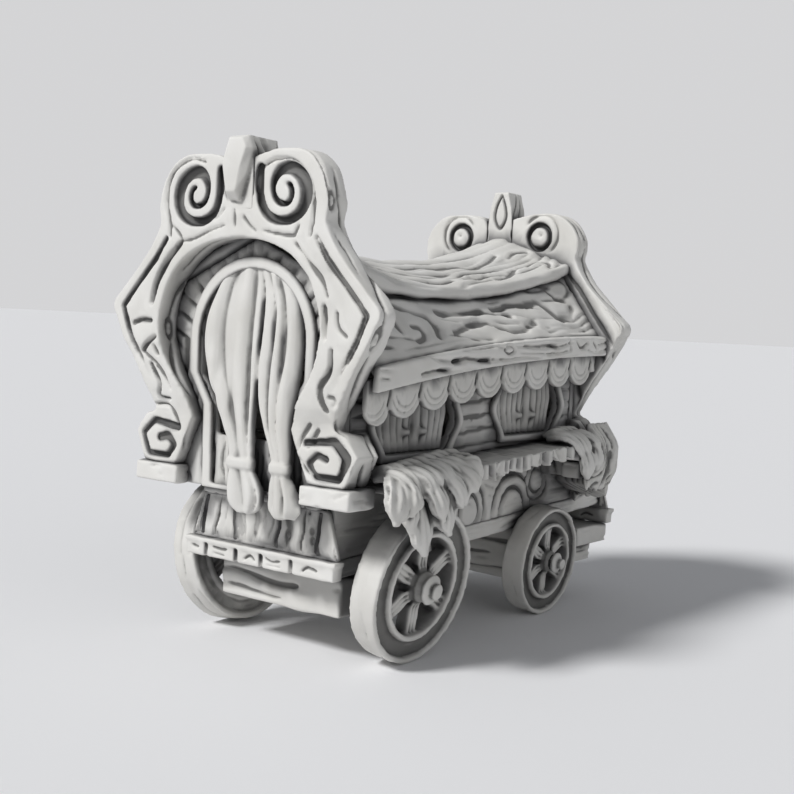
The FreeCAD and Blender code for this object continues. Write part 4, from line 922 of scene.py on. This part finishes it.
def cut_keystone(end, word):
    """The stone between the scrolls: a lopsided gem on its face and a raised drop on its back."""
    face = NEAR_FACE if end < 0 else FAR_FACE
    if end < 0:
        lumps = [prism([(GEM, face - 2.0), (GEM_EDGE, face - 0.6), (GEM_EDGE, face + 1.0)]),
                 prism([(STONE, face + 0.15), (STONE, face + 7.7)])]
        clay = Clay(f"{word}_keystone_cut", [f"{word}_keystone"], 0.24, 1, lumps=lumps, solid=False)
    else:
        clay = Clay(f"{word}_keystone_cut", [f"{word}_keystone"], 0.26, 1)
        x, y, z = clay.co.T
        clay.co = np.stack([x * (1 - 0.24 * smooth(95.0, 105.0, z)), y, z], 1)

    def carve(x, y, z, n):
        side = facing(n, 0) * smooth(0.2, 0.8, (y - face) * -end)
        back = smooth(0.5, 0.8, n[:, 1] * -end)
        lines = grain(z, y, 2.6, 7.0, 94, cover=0.0)
        return 0.5 * side * lines + 0.7 * back * groove_depth(x, z, [(DROP_EDGE, 1.0, 1.0)])
    clay.shape(carve)
    clay.finish(BODY)


FASCIA_STROKES = [
    ([(-44.0, 60.2), (-38.0, 60.9), (-33.5, 60.6)], 1.3, 0.45),
    ([(-33.1, 62.6), (-29.0, 63.4), (-25.8, 63.2), (-19.6, 62.9)], 1.4, 0.5),
    ([(-30.0, 65.2), (-24.0, 65.6), (-18.8, 66.0)], 1.0, 0.4),
    ([(-14.6, 65.2), (-12.5, 66.4), (-10.4, 65.4), (-12.4, 64.4), (-14.4, 65.2)], 0.9, 0.5),
    ([(-15.8, 63.2), (-11.0, 63.4), (-5.0, 64.0), (0.8, 63.8)], 1.0, 0.45),
    ([(-6.4, 66.4), (-2.0, 66.2), (3.6, 66.8), (8.6, 66.0)], 1.2, 0.5),
    ([(3.6, 64.6), (9.0, 64.8)], 1.0, 0.4),
    ([(13.9, 68.0), (14.4, 65.4)], 1.0, 0.6),
    ([(17.0, 67.8), (19.4, 66.2), (22.6, 67.6)], 1.1, 0.5),
    ([(25.0, 68.0), (27.4, 66.0)], 1.1, 0.5),
]


def fascia_cut(x, y, z, n):
    """Carved strokes on a board whose farther part stands a little prouder."""
    along = turned(x, y)
    raised = 0.45 * smooth(-18.2, -17.6, along)
    lines = grain(y, z, 1.7, 9.0, 95, cover=0.0)
    return facing(n, 0) * (1.7 * groove_depth(along, z, FASCIA_STROKES) - raised * 0.6 + 0.6 * lines)


# a scallop's share of the cabin's length, where the first begins, and its radius
SCALLOP_SHARE, SCALLOP_START, SCALLOP_RADIUS = 0.0993, 0.0287, 5.7
VALANCE_DROP = 11.9


def valance_cut(x, y, z, n):
    """Each scallop has two arcs inside its edge and a slit to the next."""
    pitch = SCALLOP_SHARE * CABIN
    first = NEAR_FACE + SCALLOP_START * CABIN
    index = np.floor((y - first) / pitch)
    middle = first + (index + 0.5) * pitch
    centre = eave_top(middle) - VALANCE_DROP + SCALLOP_RADIUS
    r = np.hypot(y - middle, z - centre)
    below = smooth(1.0, -1.0, z - centre + 0.6)
    outer = smooth(0.40, 0.10, np.abs(r - 4.6))
    inner = 0.7 * smooth(0.34, 0.08, np.abs(r - 3.4)) * smooth(0.5, -1.5, z - centre)
    to_seam = pitch / 2 - np.abs(y - middle)
    slit = smooth(0.50, 0.10, to_seam) * smooth(1.6, -0.6, z - centre)
    swell = 0.25 * (y - middle) / pitch
    lines = grain(z, y, 1.3, 5.0, 96, cover=-0.3)
    return facing(n, 0) * (0.4 * (outer + inner) * below + 0.9 * slit + swell + 0.10 * lines)


# place along the side, height, radius
PANEL_RINGS = ((17.0, 26.0, 9.0), (28.5, 32.5, 5.0), (-2.0, 27.5, 6.5))


def panel_cut(x, y, z, n):
    """Large rings carved on the lower side between the wheels."""
    depth = 0.25 * grain(y, z, 2.0, 10.0, 97, cover=0.0)
    for middle, height, radius in PANEL_RINGS:
        r = np.hypot(y - middle, z - height)
        for share in (1.0, 0.62):
            depth = np.maximum(depth, smooth(0.9, 0.3, np.abs(r - radius * share)))
    return 1.05 * facing(n, 0) * depth


def floor_cut(x, y, z, n):
    """Boards under the floor."""
    seam = np.abs((x / 4.1 + 0.5) % 1 - 0.5)
    return facing(n, 2) * (0.5 * smooth(0.10, 0.04, seam) + 0.25 * grain(y, x, 1.4, 8.0, 98, cover=0.0))


def bolster_cut(x, y, z, n):
    return 0.5 * facing(n, 0, 1) * grain(x + y, z, 1.8, 9.0, 99, cover=0.1)


def build():
    for end, word in ((-1, "near"), (1, "far")):
        carve_arch(end, word)
        hang_door_curtains(end, word)
        cut_keystone(end, word)
        plain(f"{word}_plinths_cut", f"{word}_plinths", rounds=3, carve=plinth_cut)
        plain(f"{word}_wall_boards", f"{word}_wall", voxel=0.46, rounds=1, carve=end_board_cut)
        plain(f"{word}_door_frame_cut", f"{word}_door_frame", voxel=0.32)
        plain(f"{word}_skirt_planks", f"{word}_skirt", voxel=0.34, rounds=3, carve=skirt_cut)
        plain(f"{word}_blocks", f"{word}_block_board", voxel=0.28, carve=block_cut)
        plain(f"{word}_axle_block", f"{word}_axle", GEAR, voxel=0.42, rounds=3, carve=axle_cut)
    for side, word in ((-1, "left"), (1, "right")):
        carve_roof(side, word)
        plain(f"{word}_wall_planks", f"{word}_wall", voxel=0.46, rounds=1, carve=plank_cut)
        plain(f"{word}_window_frames_cut", f"{word}_window_frames", voxel=0.36)
        hang_window_curtains(side, word)
        plain(f"{word}_fascia_carved", f"{word}_fascia", voxel=0.34, carve=fascia_cut)
        plain(f"{word}_valance_cut", f"{word}_valance", SOFT, voxel=0.32, carve=valance_cut)
        plain(f"{word}_ledge_fringe", f"{word}_ledge", SOFT, voxel=0.38, rounds=1, carve=fringe_cut)
        lay_thatch(side, word)
        lay_drape(side, word)
        plain(f"{word}_lower_panel_carved", f"{word}_lower_panel", voxel=0.44, rounds=1, carve=panel_cut)
        plain(f"{word}_sill_carved", f"{word}_sill", carve=sill_cut)
        for end, radius in WHEEL_RADIUS.items():
            carve_wheel(f"{end}_{word}_wheel", radius)
    carve_cap()
    plain("floor_boards", "floor", voxel=0.6, rounds=1, carve=floor_cut)
    plain("porch_bolster_cut", "porch_bolster", voxel=0.44, rounds=3, carve=bolster_cut)


build()
darken_nooks()
thin_out()


# Studio: pale floor, a soft key from the front left and a weak fill. From here on in metres

def pale_floor(half=30.0):
    mesh = bpy.data.meshes.new("studio_floor")
    corners = [(-half, -half, 0.0), (half, -half, 0.0), (half, half, 0.0), (-half, half, 0.0)]
    mesh.from_pydata(corners, [], [(0, 1, 2, 3)])
    paper = bpy.data.materials.new("studio_paper")
    paper.use_nodes = True
    shader = paper.node_tree.nodes["Principled BSDF"]
    shader.inputs["Base Color"].default_value = (0.86, 0.86, 0.87, 1)
    shader.inputs["Roughness"].default_value = 0.95
    thing = bpy.data.objects.new("studio_floor", mesh)
    bpy.context.scene.collection.objects.link(thing)
    mesh.materials.append(paper)


def lamp(name, direction, strength, angle):
    data = bpy.data.lights.new(name, "SUN")
    data.energy = strength
    data.angle = math.radians(angle)
    thing = bpy.data.objects.new(name, data)
    thing.rotation_euler = Vector(direction).to_track_quat("-Z", "Y").to_euler()
    bpy.context.scene.collection.objects.link(thing)


def studio_air():
    """Weak bluish light all round, seen by the camera and in reflections as plain grey."""
    world = bpy.data.worlds.new("studio_air")
    bpy.context.scene.world = world
    world.use_nodes = True
    tree = world.node_tree
    air = tree.nodes["Background"]
    air.inputs["Color"].default_value = (0.92, 0.95, 1.0, 1)
    air.inputs["Strength"].default_value = 0.22
    seen = tree.nodes.new("ShaderNodeBackground")
    seen.inputs["Color"].default_value = (0.66, 0.66, 0.67, 1)
    seen.inputs["Strength"].default_value = 1.0
    path = tree.nodes.new("ShaderNodeLightPath")
    straight = path.outputs["Is Camera Ray"]
    for kind in ("Is Glossy Ray", "Is Transmission Ray"):
        either = tree.nodes.new("ShaderNodeMath")
        either.operation = "MAXIMUM"
        tree.links.new(straight, either.inputs[0])
        tree.links.new(path.outputs[kind], either.inputs[1])
        straight = either.outputs[0]
    choose = tree.nodes.new("ShaderNodeMixShader")
    tree.links.new(straight, choose.inputs["Fac"])
    tree.links.new(air.outputs[0], choose.inputs[1])
    tree.links.new(seen.outputs[0], choose.inputs[2])
    tree.links.new(choose.outputs[0], tree.nodes["World Output"].inputs["Surface"])


CAMERA_AT = (0.16943, -0.23491, 0.06953)
CAMERA_RIGHT = (0.7981, 0.6005, 0.0488)
CAMERA_UP = (-0.0746, 0.0181, 0.9971)
LENS, SENSOR = 54.96, 36.0


def set_camera():
    """It stands before the door end's right corner, 70 mm over the ground."""
    data = bpy.data.cameras.new("camera")
    data.lens = LENS
    data.sensor_width = SENSOR
    data.clip_start = 0.01
    data.clip_end = 200.0
    camera = bpy.data.objects.new("camera", data)
    right = Vector(CAMERA_RIGHT).normalized()
    up = Vector(CAMERA_UP)
    up = (up - right * up.dot(right)).normalized()
    back = right.cross(up)
    rows = [(right[i], up[i], back[i], CAMERA_AT[i]) for i in range(3)]
    camera.matrix_world = Matrix((*rows, (0, 0, 0, 1)))
    bpy.context.scene.collection.objects.link(camera)
    bpy.context.scene.camera = camera


pale_floor()
lamp("key", (0.34, 1.0, -0.95), 2.65, 12)
lamp("fill", (-1.0, 0.35, -0.45), 0.26, 50)
studio_air()
set_camera()
bpy.context.scene.view_settings.view_transform = "Standard"
